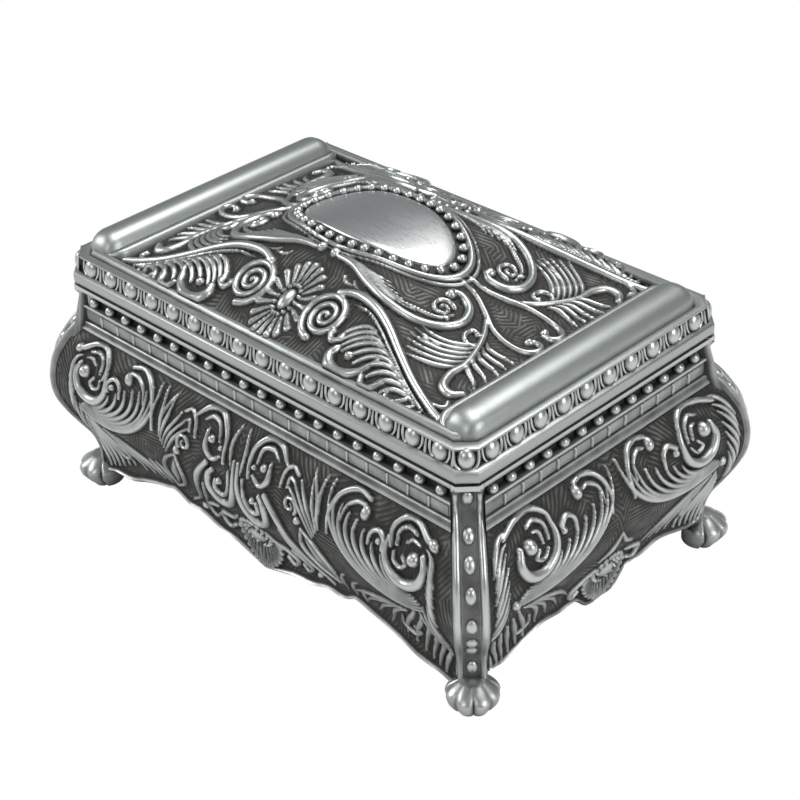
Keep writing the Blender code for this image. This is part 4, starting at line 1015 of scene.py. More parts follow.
        for c in (0, columns - 1):
            loop = [r * columns + c for r in range(total)]
            for k in range(total // 2):
                a, b, d, e = loop[k], loop[k + 1], loop[total - 2 - k], loop[total - 1 - k]
                faces.append((a, b, d, e) if b != d else (a, b, e))
                if b >= d:
                    break
        tone = np.vstack([np.repeat(neck[:, 2:3], columns, 1), patina, np.full((len(inner_z), columns), 0.3)])
        return make_piece(f"wall_{self.label}_cast", points, faces, self.finishes.antique, tone.ravel())

    def build_beads(self) -> bpy.types.Object:
        """Make the row of beads in the neck's channel."""
        radius = self.bead_radius
        shape = ellipsoid((0, 0, 0), (radius,) * 3)
        # Painted light on each bead: lighter on its outer face and upper side, darker underneath and at the
        # back where it sits in the channel
        tone = 0.35 + 0.5 * shape[0][:, 2] / radius + 0.15 * shape[0][:, 1] / radius
        places = self.row(np.linspace(-self.row_half, self.row_half, self.beads), *self.bead_row)
        return Scatter(f"wall_{self.label}_beads", shape, self.finishes.pewter, tone).build(places)

    def build_ticks(self) -> bpy.types.Object:
        """Make the ticks on the dentil band and the low panels between them."""
        half = self.row_half
        step = 2 * half / (self.beads - 1)
        line = smooth_path([(0.0, -1.3), (0.08, 0.0), (0.0, 1.3)], 4)
        line = np.column_stack([line, np.full(len(line), 0.12)])
        wire = tube(line, [0.2] + [0.32] * 7 + [0.2], 6)
        low, high = (0.55, -1.15), (step - 0.55, 1.15)
        rings = []
        for inset, rise in ((0.0, -0.2), (0.0, 0.1), (0.2, 0.22)):
            rings.append([(low[0] + inset, low[1] + inset, rise), (high[0] - inset, low[1] + inset, rise),
                          (high[0] - inset, high[1] - inset, rise), (low[0] + inset, high[1] - inset, rise)])
        cell = loft(rings)
        tone = np.concatenate([np.full(len(wire[0]), 0.85), np.full(len(cell[0]), 0.48)])
        middles = [-half + step * (i + 0.5) for i in range(self.beads - 1)]
        places = self.row(middles, *self.dentil_row)
        return Scatter(f"wall_{self.label}_dentils", merge(wire, cell), self.finishes.antique,
                       tone).build(places)

    def build(self) -> None:
        """Make and place every piece of the wall."""
        place_piece(self.build_panel(), Body.CASKET, Slot.ANTIQUE, f"wall_{self.label}")
        place_piece(self.build_beads(), Body.CASKET, Slot.PEWTER)
        place_piece(self.build_ticks(), Body.CASKET, Slot.ANTIQUE)


@dataclass
class CornerPost:
    """A corner post with two rails, a beaded groove and a paw foot."""

    form: BoxForm
    finishes: Finishes
    label: str
    sign_x: int
    sign_y: int
    depth: float = 3.6
    groove: float = 0.95
    rail_middle: float = 0.76
    lip: float = 53.1
    bead_levels: tuple[float, ...] = (50.3, 43.8, 39.4, 34.0, 27.0, 20.9, 16.4, 9.2)
    bead_size: tuple[float, float, float] = (1.25, 1.9, 1.0)
    foot_height: float = 6.8
    foot_width: float = 10.9
    foot_front: float = 5.6
    foot_back: float = 4.6
    foot_centre: float = -2.1
    toes: int = 4
    crease: float = 0.16

    def section(self, z: float) -> list[Point]:
        """Cross-section at a height: places across the corner and outward along its diagonal."""
        form = self.form
        half = float(form.width_curve(z)) / 2
        cut = form.chamfer / ROOT_TWO
        face = float(form.post_curve(z)) * ROOT_TWO - cut
        ring = []
        for share in np.linspace(-1, 1, 33):
            across = half * share
            if z > self.lip:
                outward = face + cut - max(cut, abs(across))
            else:
                away = (abs(share) - self.rail_middle) / (1 - self.rail_middle)
                outward = face - self.groove + self.groove * math.sqrt(max(1 - away ** 2, 0.0))
            ring.append((across, outward))
        return ring + [(half, face - self.depth), (-half, face - self.depth)]

    def build_post(self) -> bpy.types.Object:
        """Make the post itself."""
        heights = np.concatenate([[54.25, 53.4, 53.11, 53.09], np.linspace(52.9, 3.8, 110)])
        rings, tone = [], []
        for z in heights:
            section = self.section(float(z))
            rings.append([self.form.corner(self.sign_x, self.sign_y, a, o, z) for a, o in section])
            for share in np.linspace(-1, 1, 33):
                rubbed = 0.3 + 0.6 * max(1 - abs(abs(share) - 0.74) / 0.3, 0)
                tone.append(rubbed if z < self.lip else 0.8)
            tone += [0.3, 0.3]
        points, faces = loft(rings)
        return make_piece(f"post_{self.label}_rails", points, faces, self.finishes.pewter, tone)

    def groove_floor(self, z: float) -> Vector:
        """Middle of the groove at a height."""
        face = float(self.form.post_curve(z)) * ROOT_TWO - self.form.chamfer / ROOT_TWO
        return Vector(self.form.corner(self.sign_x, self.sign_y, 0.0, face - 0.9, z))

    def build_beads(self) -> bpy.types.Object:
        """Make the oval beads in the groove."""
        out_axis = Vector((self.sign_x, self.sign_y, 0)).normalized()
        places = []
        for z in self.bead_levels:
            above, centre, below = [self.groove_floor(level) for level in (z + 1, z, z - 1)]
            along = (above - below).normalized()
            places.append((centre, out_axis - along * out_axis.dot(along), along))
        shape = ellipsoid((0, 0, 0), self.bead_size, 16, 9)
        # Painted light on each bead: lighter on its outer face, darker at the back where it sits in the
        # groove
        tone = 0.35 + 0.5 * shape[0][:, 2]
        return Scatter(f"post_{self.label}_beads", shape, self.finishes.pewter, tone).build(places)

    def build_paw(self) -> bpy.types.Object:
        """Make the paw with its toes."""
        rings, tone = [], []
        for lift in np.linspace(0, 1, 22):
            if lift < 0.55:
                swell = 0.80 + 0.25 * math.sin(min(lift * 1.5, 1.0) * math.pi / 2)
            else:
                swell = 1.05 * math.cos((lift - 0.55) / 0.45 * math.pi / 2 * 0.72)
            ring = []
            for angle in np.linspace(0, 2 * math.pi, 84, endpoint=False):
                forward = math.cos(angle)
                reach = self.foot_front if forward > 0 else self.foot_back
                crease = abs(math.sin(self.toes * angle)) ** 0.6 if forward > -0.1 else 1.0
                depth = self.crease * (1 - crease) * (1.0 if forward > 0 else max(0.0, 1 + forward * 10))
                depth *= 1 - 0.55 * max(lift - 0.6, 0) / 0.4
                size = swell * (1 - depth)
                across = math.sin(angle) * self.foot_width / 2 * size
                outward = self.foot_centre - 0.9 * (1 - min(lift * 3, 1)) + forward * reach * size
                outward -= 0.8 * max(lift - 0.5, 0)
                ring.append(self.form.corner(self.sign_x, self.sign_y, across, outward,
                                             self.foot_height * lift))
                # Patina darkens the toe creases; the last factor is painted shade that darkens the paw
                # towards the floor
                tone.append(0.25 + 0.5 * (1 - depth / self.crease) * (0.35 + 0.65 * min(lift * 2.5, 1)))
            rings.append(ring)
        points, faces = loft(rings)
        return make_piece(f"post_{self.label}_paw", points, faces, self.finishes.antique, tone)

    def build(self) -> None:
        """Make and place every piece of the post."""
        place_piece(self.build_post(), Body.CASKET, Slot.PEWTER, f"post_{self.label}")
        place_piece(self.build_beads(), Body.CASKET, Slot.PEWTER)
        place_piece(self.build_paw(), Body.CASKET, Slot.PEWTER)


@dataclass
class Lid:
    """The cast lid: rim with egg-and-dart, crown with ornament, end rolls and bead ring."""

    form: BoxForm
    finishes: Finishes
    crown_half_x: float = 50.4
    crown_half_y: float = 35.5
    sunk: float = 0.4
    eggs_long: int = 16
    eggs_short: int = 10
    egg_margin: float = 5.2
    egg_inset: float = 1.75
    egg_rise: float = 4.7
    egg_lean: float = 8.0
    roll_inset: float = 7.3
    roll_end: float = 4.4
    plate_half: Point = (20.4, 10.3)
    oval_half: Point = (22.0, 11.9)
    oval_beads: int = 33
    oval_bead: float = 1.05
    fillet_half: Point = (23.9, 12.9)
    fade: Point = (2.2, 0.6)
    cells: tuple[int, int] = (42, 30)
    split: int = 8
    thickness: float = 1.9
    # Inset, height over the lid's base, patina with painted highlights on the bands that face up and painted
    # shade in the hollow behind the eggs
    rim: tuple[tuple[float, float, float], ...] = (
        (0.3, 0.0, 0.5), (0.05, 0.35, 0.7), (0.0, 0.8, 0.78), (0.0, 2.3, 0.78), (0.1, 2.55, 0.95),
        (0.5, 2.8, 0.9), (0.85, 2.95, 0.5), (1.1, 3.05, 0.15), (1.6, 3.3, 0.05), (1.95, 3.9, 0.03),
        (2.1, 4.6, 0.03), (2.05, 5.3, 0.05), (1.8, 5.8, 0.2), (1.45, 6.15, 0.45), (1.22, 6.4, 0.8),
        (1.15, 6.65, 0.92), (1.25, 6.9, 0.95), (1.6, 7.05, 0.85), (2.3, 7.05, 0.78), (2.85, 6.95, 0.6),
        (3.1, 6.85, 0.15), (3.35, 7.3, 0.5), (3.6, 7.75, 0.8), (4.1, 8.05, 0.95), (4.7, 8.0, 0.8),
        (5.1, 7.6, 0.3), (5.5, 6.9, 0.1),
    )

    def build_rim(self) -> bpy.types.Object:
        """Make the moulded rim as a closed frame."""
        sections = list(self.rim) + [(5.5, 4.8, 0.3), (3.9, 4.2, 0.3), (3.9, 0.08, 0.4)]
        rings, tone = [], []
        for inset, rise, value in sections:
            outline = self.form.outline(inset)
            rings.append([(x, y, self.form.lid_base + rise) for x, y in outline])
            tone += [value] * len(outline)
        count, total = len(rings[0]), len(rings)
        points = np.array([p for ring in rings for p in ring])
        faces = []
        for r in range(total):
            for c in range(count):
                d, s = (c + 1) % count, (r + 1) % total
                faces.append((r * count + c, r * count + d, s * count + d, s * count + c))
        return make_piece("lid_rim_moulding", points, faces, self.finishes.bar, tone, 40.0)

    def egg_shape(self, dart: bool) -> tuple[tuple[Array, list], Array]:
        """One egg in its raised wire, with the dart beside it."""
        egg = ellipsoid((0, 0.1, 0.0), (1.95, 2.25, 1.4), 20, 10)
        turns = np.radians(np.linspace(168, 372, 21))
        path = np.stack([2.62 * np.cos(turns), 0.3 + 2.85 * np.sin(turns), np.zeros(21)], 1)
        path[0, 1] = path[-1, 1] = 2.2
        path[:, 2] = 0.25
        wire = tube(path, [0.25] + [0.34] * 19 + [0.25], 7)
        parts = [egg, wire]
        # Painted light: each egg is lighter towards its outer face and darker at the back where it sits on
        # the rim; the wire's outer half is bright and its inner half, against the rim, is painted shade
        tones = [0.36 + 0.5 * egg[0][:, 2] / 1.4, np.full(len(wire[0]), 0.75) * (wire[0][:, 2] > 0.2)]
        if dart:
            line = np.array([(3.5, 1.9, 0.1), (3.5, 0.6, 0.25), (3.5, -1.2, 0.3), (3.5, -2.3, 0.2)])
            spike = tube(line, [0.16, 0.24, 0.36, 0.42], 7)
            parts.append(spike)
            tones.append(np.full(len(spike[0]), 0.65))
        return merge(*parts), np.concatenate(tones)

    def build_eggs(self) -> bpy.types.Object:
        """Make the egg-and-dart round the rim."""
        form = self.form
        places, corners = [], []
        up, level = Vector((0, 0, 1)), form.lid_base + self.egg_rise
        lean = math.radians(self.egg_lean)

        def tipped(facing: Vector) -> Vector:
            """Outward direction of an egg that leans back."""
            return facing * math.cos(lean) + up * math.sin(lean)

        for side in range(4):
            count, half = ((self.eggs_long, form.half_length), (self.eggs_short, form.half_width))[side % 2]
            half -= form.chamfer + self.egg_margin
            for along in np.linspace(-half, half, count):
                place = Vector(form.on_side(side, along, -self.egg_inset, level))
                places.append((place, tipped(form.facing(side)), up))
        for sx in (-1, 1):
            for sy in (-1, 1):
                place = Vector(form.corner(sx, sy, 0.0, -form.chamfer / ROOT_TWO - self.egg_inset, level))
                corners.append((place, tipped(Vector((sx, sy, 0)).normalized()), up))
        shape, tone = self.egg_shape(True)
        eggs = Scatter("lid_egg_and_dart", shape, self.finishes.pewter, tone).build(places)
        shape, tone = self.egg_shape(False)
        corner_eggs = Scatter("lid_corner_eggs", shape, self.finishes.pewter, tone,
                              (0.9, 1.0, 1.0)).build(corners)
        place_piece(corner_eggs, Body.LID, Slot.PEWTER)
        return eggs

    def draw(self, art: Relief) -> None:
        """Ornament of the crown, drawn for one quarter and mirrored."""
        x, y = art.u, art.v
        art.hatch(pitch=0.95, depth=0.2, patch=6.0, seed=5)
        oval = np.sqrt((x / self.fillet_half[0]) ** 2 + (y / self.fillet_half[1]) ** 2)
        span = (oval - 1.0) * math.sqrt(self.fillet_half[0] * self.fillet_half[1])
        inside = oval < 1.0
        art.height = np.where(inside, 0.0, art.height)
        fillet = np.sqrt(np.clip(1 - (span / 0.75) ** 2, 0, 1)) * 1.15
        line = np.sqrt(np.clip(1 - ((span - 1.35) / 0.4) ** 2, 0, 1)) * 0.8
        art.height = np.maximum(art.height, np.maximum(fillet, line))
        # Stem that springs from the middle, runs under the oval and hooks back
        art.stroke([(2.6, 14.6), (8, 15), (14, 16.9), (20.5, 18.2), (26.5, 17.2), (31, 13.8), (32.7, 9.4),
                    (31.2, 5.6), (28, 4.2), (26, 5)], (0.5, 0.85, 0.95, 1, 1, 1.05, 0.95, 0.7), 1.45)
        art.fan([(5, 14, 5, 17.6, 14.2, -15), (9.5, 15, 10, 21.5, 15.3, -20),
                 (14.5, 16.4, 10, 25.5, 15.2, -35)], 6, (0.3, 0.6, 0.5, 0.25), 1)
        art.ball((26.4, 5.9), 1.2, 1.6)
        art.ball((1.95, 14.3), 1.15, 1.5)
        art.spiral((28, 9.9), (2.4, 0.45), (-60, -560), (0.6, 0.4), 1.1)
        art.stroke([(21.5, 16.2), (25.6, 14.6), (29.2, 12.6), (30.4, 9.4)], (0.3, 0.5, 0.5, 0.35), 1)
        art.ball((30.4, 11.2), 0.55, 1, 1.8, 60)
        # Stem from the tip of the oval to the facing hooks
        art.stroke([(25.2, 1), (29.5, 1.5), (33.5, 3.3), (37.5, 5.4), (42, 6.1), (46.2, 5.4), (48, 3.4),
                    (47, 1.7), (45, 1.6)], (0.45, 0.6, 0.75, 0.6, 0.6, 0.85, 0.8, 0.6), 1.3)
        art.ball((44.5, 2.4), 0.95, 1.35)
        # Branch towards the corner with its leaves
        art.stroke([(33.8, 3.5), (37.2, 7.6), (39.6, 12.6), (40.9, 17.4), (40.8, 21.4), (42, 24.6),
                    (44.6, 25.4), (46.4, 23.6)], (0.45, 0.7, 0.7, 0.8, 1, 1.15, 1.1, 0.8), 1.4)
        art.fan([(38.6, 10.6, 110, 28.4, 16.8, 185), (39.8, 13.8, 110, 28.8, 20.6, 175),
                 (40.6, 17.6, 105, 31.6, 24.6, 150)], 6, (0.35, 0.75, 0.6, 0.25), 1.05)
        art.fan([(39.4, 9.2, 55, 46.8, 9.6, 0), (40.4, 12.4, 70, 47.4, 14.6, 30),
                 (41, 16, 80, 46.6, 20.8, 60)], 5, (0.35, 0.75, 0.55, 0.25), 1.05)
        art.stroke([(39.2, 11.4), (37.4, 12.6), (35.4, 11.6), (35.2, 9.4), (36.6, 8.6)],
                   (0.35, 0.55, 0.6, 0.45), 1.1)
        art.ball((36.8, 9.2), 0.7, 1.2)
        art.stroke([(35, 17), (33.2, 18.6), (30.8, 18.8)], (0.3, 0.5, 0.25), 0.9)
        # Flower, volute and the wave of feathers along the front and back edges
        art.daisy((0, 26.8), (1.7, 2.6), (6.9, 9.3), range(0, 360, 18), 1.45)
        art.spiral((11.2, 26.4), (5.3, 0.3), (95, 95 + 360 * 2.7), (0.85, 0.7, 0.5), 1.3)
        art.stroke([(10.4, 21.1), (14.5, 20), (20, 20.6), (25.5, 22.6), (31, 25.4), (37, 28.2), (43, 30.4),
                    (48.5, 32.2), (53, 33.4)], (0.85, 1, 1.05, 1, 0.95, 0.9, 0.8), 1.55)
        art.stroke([(15.5, 21.9), (20, 22.2), (25, 24.2), (31, 27.2), (37.5, 30.2), (44, 32.6)],
                   (0.25, 0.4, 0.4, 0.35), 1.05)
        art.fan([(24.5, 24.8, -162, 17.6, 28.8, 120), (30, 27.4, -158, 20.6, 31, 125),
                 (35.5, 29.8, -158, 27.2, 32.6, 120), (41.5, 32.4, -160, 34.8, 34.6, 110)], 10,
                (0.3, 0.6, 0.65, 0.4), 1.15)
        art.stroke([(18.4, 27), (18.2, 29.2), (16.6, 30), (15.4, 29)], (0.4, 0.65, 0.7, 0.7), 1.2)
        art.ball((15.6, 28.4), 0.75, 1.2)
        art.stroke([(29.5, 29), (27.6, 32.8), (24, 34.8), (20.6, 34.6), (18.8, 32.8), (19.2, 31)],
                   (0.4, 0.8, 1.2, 1.35, 1.15, 0.9), 1.7)
        art.ball((22.8, 31.2), 1, 1.4)
        art.stroke([(34.5, 31), (32.4, 34.6), (29.8, 35), (28.6, 33.6)], (0.35, 0.65, 0.7, 0.6), 1.3)
        art.stroke([(38.4, 31.6), (36, 33), (36.4, 35), (38.4, 34.6), (39.8, 32.6)], (0.3, 0.45, 0.45), 1)
        art.fan([(42, 32.4, 110, 40.8, 35.3, 100), (48, 34, 130, 46.4, 35.2, 100)], 4, (0.3, 0.5, 0.3), 0.9)
        art.stroke([(40.4, 29.2), (44, 29.9), (46.4, 28.9), (46, 27.5)], (0.3, 0.6, 0.6, 0.7), 1.1)
        art.fan([(8, 17.6, 60, 11.6, 18.8, 0), (14, 18, 30, 19, 19.2, -10)], 3, (0.25, 0.4, 0.2), 0.7)

    def build_crown(self) -> bpy.types.Object:
        """Make the crown with its ornament."""
        form = self.form
        coarse, fine = self.cells, self.split
        columns, rows = coarse[0] * fine + 1, coarse[1] * fine + 1
        xs = np.linspace(-self.crown_half_x, self.crown_half_x, columns)
        ys = np.linspace(-self.crown_half_y, self.crown_half_y, rows)
        x, y = np.meshgrid(xs, ys)
        art = Relief(np.abs(x), np.abs(y))
        self.draw(art)
        fade = np.clip((self.crown_half_y - np.abs(y)) / self.fade[1], 0, 1)
        fade = fade * np.clip((self.crown_half_x - np.abs(x)) / self.fade[0], 0, 1)
        art.height *= fade
        top = form.crown(x, y) - self.sunk
        dy, dx = np.gradient(top, ys[1] - ys[0], xs[1] - xs[0])
        norm = np.sqrt(1 + dx ** 2 + dy ** 2)
        px, py, pz = x - art.height * dx / norm, y - art.height * dy / norm, top + art.height / norm
        tone = art.cavity(3)
        under_x, under_y = np.meshgrid(xs[::fine], ys[::fine])
        under = form.crown(under_x, under_y) - self.thickness
        count = rows * columns
        wide = coarse[0] + 1
        points = np.vstack([np.stack([px, py, pz], -1).reshape(-1, 3),
                            np.stack([under_x, under_y, under], -1).reshape(-1, 3)])
        faces = grid_faces(rows, columns) + [face[::-1] for face in grid_faces(coarse[1] + 1, wide, count)]
        for r in (0, coarse[1]):
            for c in range(coarse[0]):
                row = r * fine * columns
                edge = [row + k for k in range(c * fine, (c + 1) * fine + 1)]
                faces.append(tuple(edge + [count + r * wide + c + 1, count + r * wide + c]))
        for c in (0, coarse[0]):
            for r in range(coarse[1]):
                edge = [k * columns + c * fine for k in range(r * fine, (r + 1) * fine + 1)]
                faces.append(tuple(edge + [count + (r + 1) * wide + c, count + r * wide + c]))
        tones = np.concatenate([tone.ravel(), np.full(under.size, 0.3)])
        return make_piece("lid_crown_relief", points, faces, self.finishes.pewter, tones)

    def build_roll(self, label: str, sign: int) -> bpy.types.Object:
        """Make the half-round roll across one end, with the groove and thin rail inside it."""
        form = self.form
        # Place from the roll's middle, height over the ledge
        outline = [(4.5, -0.6), (4.4, 0.5), (4.2, 1.7), (3.7, 2.8), (2.8, 3.65), (1.6, 4.2), (0.2, 4.4),
                   (-1.2, 4.35), (-2.4, 4.0), (-3.3, 3.3), (-3.9, 2.4), (-4.15, 1.6), (-4.4, 1.25),
                   (-4.7, 1.35), (-5.0, 1.7), (-5.5, 1.9), (-6.1, 1.7), (-6.5, 1.1), (-6.7, -1.6),
                   (4.5, -1.6)]
        half, end = form.half_width - self.roll_end, self.roll_end
        stations = []
        for t in np.linspace(0, 1, 9)[:-1]:
            stations.append((half - end + end * math.sin(t * math.pi / 2), math.cos(t * math.pi / 2)))
        stations.append((half, 0.12))
        stations = [(-y, s) for y, s in reversed(stations)] + stations
        rings, tone = [], []
        for y, size in stations:
            ring = []
            for i, (dx, dz) in enumerate(outline):
                x = sign * (form.half_length - self.roll_inset + dx * (0.35 + 0.65 * size))
                z = form.ledge + (dz * size if dz > 0 else dz)
                ring.append((x, y, z))
                # Painted highlight along the roll's upper ridge and the thin rail's top (points 7, 8, 15);
                # points 0, 12, 18 and 19 are dark: patina in the groove, painted shade at the foot and
                # underside
                tone.append(0.1 if i in (0, 12, 18, 19) else 0.7 + 0.2 * (i in (7, 8, 15)))
            rings.append(ring)
        points, faces = loft(rings)
        return make_piece(f"lid_roll_{label}", points, faces, self.finishes.bar, tone, 60.0)

    def oval_place(self, count: int, half_x: float, half_y: float) -> list[Point]:
        """Places spaced evenly by their distance along an oval."""
        turns = np.linspace(0, 2 * math.pi, 2000)
        path = np.stack([half_x * np.cos(turns), half_y * np.sin(turns)], 1)
        walked = np.concatenate([[0], np.cumsum(np.linalg.norm(np.diff(path, axis=0), axis=1))])
        marks = np.linspace(0, walked[-1], count, endpoint=False)
        return [(float(np.interp(m, walked, path[:, 0])),
                 float(np.interp(m, walked, path[:, 1]))) for m in marks]

    def build_oval_beads(self) -> bpy.types.Object:
        """Make the ring of beads round the plate."""
        shape = ellipsoid((0, 0, 0), (self.oval_bead,) * 3, 14, 9)
        # Painted light: each bead is lighter on top and darker underneath, where it sits on the crown
        tone = 0.45 + 0.45 * shape[0][:, 2] / self.oval_bead
        places = []
        for x, y in self.oval_place(self.oval_beads, *self.oval_half):
            z = float(self.form.crown(np.array(x), np.array(y))) + 0.35
            places.append((Vector((x, y, z)), Vector((0, 0, 1)), Vector((0, 1, 0))))
        return Scatter("lid_oval_beads", shape, self.finishes.pewter, tone).build(places)

    def build_plate(self) -> bpy.types.Object:
        """Make the polished oval plate."""
        rings, tone = [], []
        for share, lift in ((1.0, -0.7), (1.0, 0.0), (0.985, 0.2), (0.95, 0.3), (0.85, 0.32), (0.7, 0.32),
                            (0.5, 0.32), (0.3, 0.32), (0.1, 0.32)):
            ring = []
            for a in np.linspace(0, 2 * math.pi, 120, endpoint=False):
                x, y = self.plate_half[0] * share * math.cos(a), self.plate_half[1] * share * math.sin(a)
                ring.append((x, y, float(self.form.crown(np.array(x), np.array(y))) + lift))
                tone.append(0.5 if share > 0.99 else 0.9)
            rings.append(ring)
        points, faces = loft(rings)
        return make_piece("lid_oval_plate", points, faces, self.finishes.polished, tone)

    def build(self) -> None:
        """Make and place every piece of the lid."""
        place_piece(self.build_rim(), Body.LID, Slot.PEWTER, "lid_casting")
        place_piece(self.build_eggs(), Body.LID, Slot.PEWTER)
        place_piece(self.build_crown(), Body.LID, Slot.PEWTER)
        for label, sign in (("left", -1), ("right", 1)):
            place_piece(self.build_roll(label, sign), Body.LID, Slot.PEWTER)
        place_piece(self.build_oval_beads(), Body.LID, Slot.PEWTER)
        place_piece(self.build_plate(), Body.LID, Slot.POLISHED, "cartouche_plate")


@dataclass
class Studio:
    """Floor, light and the camera at the photograph's angle."""

    azimuth: float = 46.3689
    elevation: float = 32.9202
    roll: float = -2.7887
    distance: float = 423.51
    target: tuple[float, float, float] = (3.906, 0.0, 30.926)
    lens: float = 85.44
    sky: float = 0.34

    def build_camera(self) -> None:
        """Create the scene's camera."""
        az, el, roll = (math.radians(v) for v in (self.azimuth, self.elevation, self.roll))
        back = Vector((math.sin(az) * math.cos(el), -math.cos(az) * math.cos(el), math.sin(el)))
        right = Vector((math.cos(az), math.sin(az), 0.0))
        up = back.cross(right)
        turned_right = right * math.cos(roll) + up * math.sin(roll)
        turned_up = up * math.cos(roll) - right * math.sin(roll)
        data = bpy.data.cameras.new("photo_camera")
        data.lens = self.lens
        data.sensor_width = 36.0
        data.clip_start = 0.01
        data.clip_end = 20.0
        camera = add_object("photo_camera", data)
        camera.matrix_world = Matrix((turned_right, turned_up, back)).transposed().to_4x4()
        camera.location = (Vector(self.target) + back * self.distance) * MM
        bpy.context.scene.camera = camera

    def build_floor(self) -> None:
        """Create the plain pale floor."""
        mesh = bpy.data.meshes.new("floor")
        mesh.from_pydata([(-3, -3, 0), (3, -3, 0), (3, 3, 0), (-3, 3, 0)], [], [(0, 1, 2, 3)])
        material, kit, shader = new_material("pale_floor")
        kit.wire(shader, {"Base Color": (0.8, 0.8, 0.8, 1.0), "Roughness": 0.9})
        path = kit.add("ShaderNodeLightPath", {})
        glow = kit.add("ShaderNodeEmission", {"Color": (1.0, 1.0, 1.0, 1.0), "Strength": 1.0})
        mix = kit.add("ShaderNodeMixShader", {"Fac": path.outputs["Is Camera Ray"],
                                              1: shader.outputs["BSDF"], 2: glow.outputs["Emission"]})
        kit.wire(material.node_tree.nodes["Material Output"], {"Surface": mix.outputs["Shader"]})
        mesh.materials.append(material)
        add_object("floor", mesh)

    def build_world(self) -> None:
        """White behind the box, and a soft grey sky on it."""
        world = bpy.data.worlds.new("studio")
        world.use_nodes = True
        bpy.context.scene.world = world
        kit, nodes = NodeKit(world.node_tree), world.node_tree.nodes
        kit.wire(nodes["Background"], {"Color": (0.93, 0.95, 1.0, 1.0), "Strength": self.sky})
        white = kit.add("ShaderNodeBackground", {"Color": (1.0, 1.0, 1.0, 1.0)})
        path = kit.add("ShaderNodeLightPath", {})
        mix = kit.add("ShaderNodeMixShader", {"Fac": path.outputs["Is Camera Ray"],
                                              1: nodes["Background"].outputs["Background"],
                                              2: white.outputs["Background"]})
        kit.wire(nodes["World Output"], {"Surface": mix.outputs["Shader"]})

    def build_lamps(self) -> None:
        """Soft boxes above, to the left, to the right and in front of the box."""
        lamps = (("top", (0.05, 0.15, 0.75), 0.55, 6.0), ("left", (-0.65, -0.45, 0.45), 0.4, 3.5),
                 ("right", (0.75, 0.05, 0.35), 0.35, 2.5), ("front", (0.15, -0.9, 0.55), 0.4, 2.0))
        for name, place, size, power in lamps:
            data = bpy.data.lights.new("softbox_" + name, "AREA")
            data.size = size
            data.energy = power
            lamp = add_object("softbox_" + name, data)
            lamp.location = place
            lamp.rotation_euler = (Vector(place) - Vector((0, 0, 0.04))).to_track_quat("Z", "Y").to_euler()

    def build(self) -> None:
        """Create the whole studio."""
        self.build_camera()
        self.build_floor()
        self.build_world()
        self.build_lamps()
        bpy.context.scene.view_settings.view_transform = "Standard"


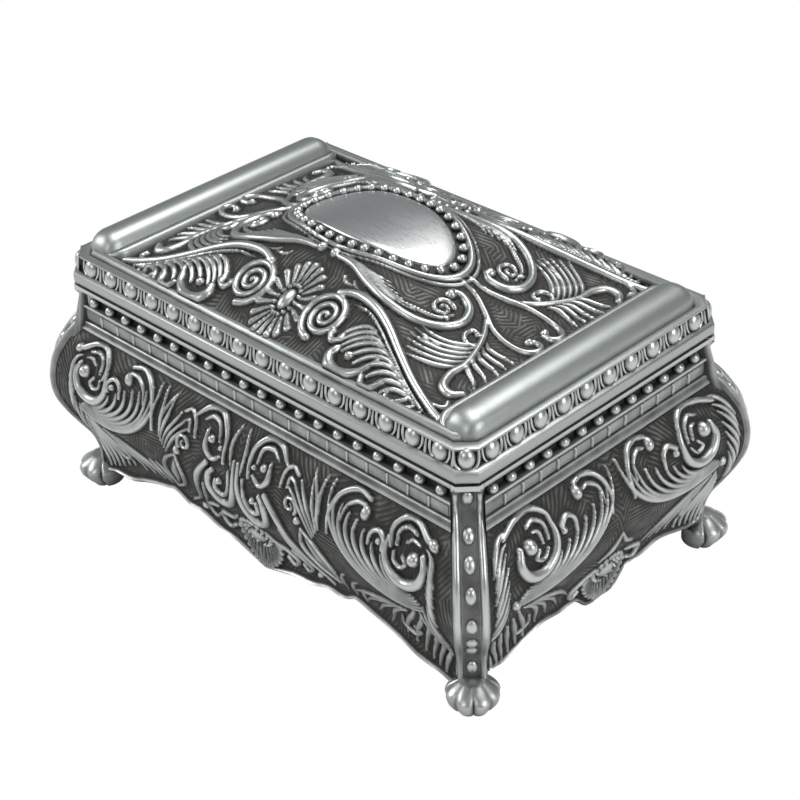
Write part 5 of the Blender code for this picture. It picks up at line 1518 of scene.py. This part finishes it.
@dataclass
class Lining:
    """Velvet floor pad, cards and lid lining, softened from the CAD solids that they stand for."""

    form: BoxForm
    finishes: Finishes
    voxel: float = 0.55
    lid_base: float = 55.65
    cad_gap: float = 2.3
    own_gap: float = 2.7
    waves: int = 7
    fill: float = 0.6

    def soften(self, node_name: str, name: str, swell: float, seed: int) -> bpy.types.Object:
        """Turn a CAD solid into a rounded, slightly uneven velvet form.

        Args:
            node_name: the CAD node to copy.
            name: name of the new piece.
            swell: height of the soft unevenness in millimetres.
            seed: seed of the unevenness.

        Returns:
            The new object, at the origin.
        """
        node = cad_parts[node_name]
        mesh = node.data.copy()
        mesh.transform(node.matrix_world)
        obj = add_object(name, mesh)
        remesh = obj.modifiers.new("remesh", "REMESH")
        remesh.mode = "VOXEL"
        remesh.voxel_size = self.voxel * MM
        smooth = obj.modifiers.new("smooth", "SMOOTH")
        smooth.iterations = 4
        result = evaluated_mesh(obj)
        obj.modifiers.clear()
        obj.data = result
        count = len(result.vertices)
        points, normals = np.empty(count * 3), np.empty(count * 3)
        result.vertices.foreach_get("co", points)
        result.vertices.foreach_get("normal", normals)
        points, normals = points.reshape(-1, 3) / MM, normals.reshape(-1, 3)
        rng = np.random.default_rng(seed)
        wave = np.zeros(count)
        for _ in range(self.waves):
            direction = rng.normal(size=3)
            wave += np.sin(points @ direction * rng.uniform(0.12, 0.4) + rng.uniform(0, 6.3)) / self.waves
        points += normals * (wave * swell - swell)[:, None]
        if node_name == "lining_lid":
            cad = self.form.cad_crown(points[:, 0], points[:, 1]) - self.cad_gap - self.lid_base
            own = self.form.crown(points[:, 0], points[:, 1]) - self.own_gap - self.lid_base
            above = points[:, 2] > self.lid_base
            fitted = self.lid_base + (points[:, 2] - self.lid_base) * own / cad
            points[:, 2] = np.where(above, fitted, points[:, 2])
        result.vertices.foreach_set("co", (points * MM).ravel())
        result.update()
        result.shade_smooth()
        result.materials.clear()
        result.materials.append(self.finishes.velvet)
        return obj

    def build(self) -> None:
        """Make and place every velvet piece."""
        pieces = [("lining_floor_pad", "velvet_floor_pad", Body.CASKET, 0.12, 3)]
        for i, side in enumerate(("front", "back", "left", "right")):
            pieces.append((f"lining_{side}", f"velvet_card_{side}", Body.CASKET, 0.08, 10 + i))
        pieces.append(("lining_lid", "velvet_lid_lining", Body.LID, 0.08, 20))
        for node_name, name, body, swell, seed in pieces:
            piece = self.soften(node_name, name, swell, seed)
            place_piece(piece, body, Slot.VELVET, node_name)


def dress_cad(finishes: Finishes) -> None:
    """Give the CAD nodes that stay their finishes."""
    kept = {
        "floor_plate": finishes.antique, "hinge_leaf_body": finishes.bar, "hinge_leaf_lid": finishes.bar,
        "hinge_pin": finishes.steel,
    }
    for name, material in kept.items():
        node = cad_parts[name]
        node.data.materials.clear()
        node.data.materials.append(material)


def main() -> None:
    """Build the studio and dress every piece of the box."""
    logging.basicConfig(level=logging.INFO, format="%(message)s")
    Studio().build()
    finishes = Finishes.make()
    form = BoxForm()
    for side, label in enumerate(("front", "right", "back", "left")):
        long = side % 2 == 0
        Wall(form, finishes, label, side, 20 if long else 13, LONG_APRON if long else SHORT_APRON).build()
    for sy, depth in ((-1, "front"), (1, "back")):
        for sx, width in ((-1, "left"), (1, "right")):
            CornerPost(form, finishes, f"{depth}_{width}", sx, sy).build()
    Lid(form, finishes).build()
    Lining(form, finishes).build()
    dress_cad(finishes)
    bpy.context.view_layer.update()


if __name__ == "__main__":
    main()
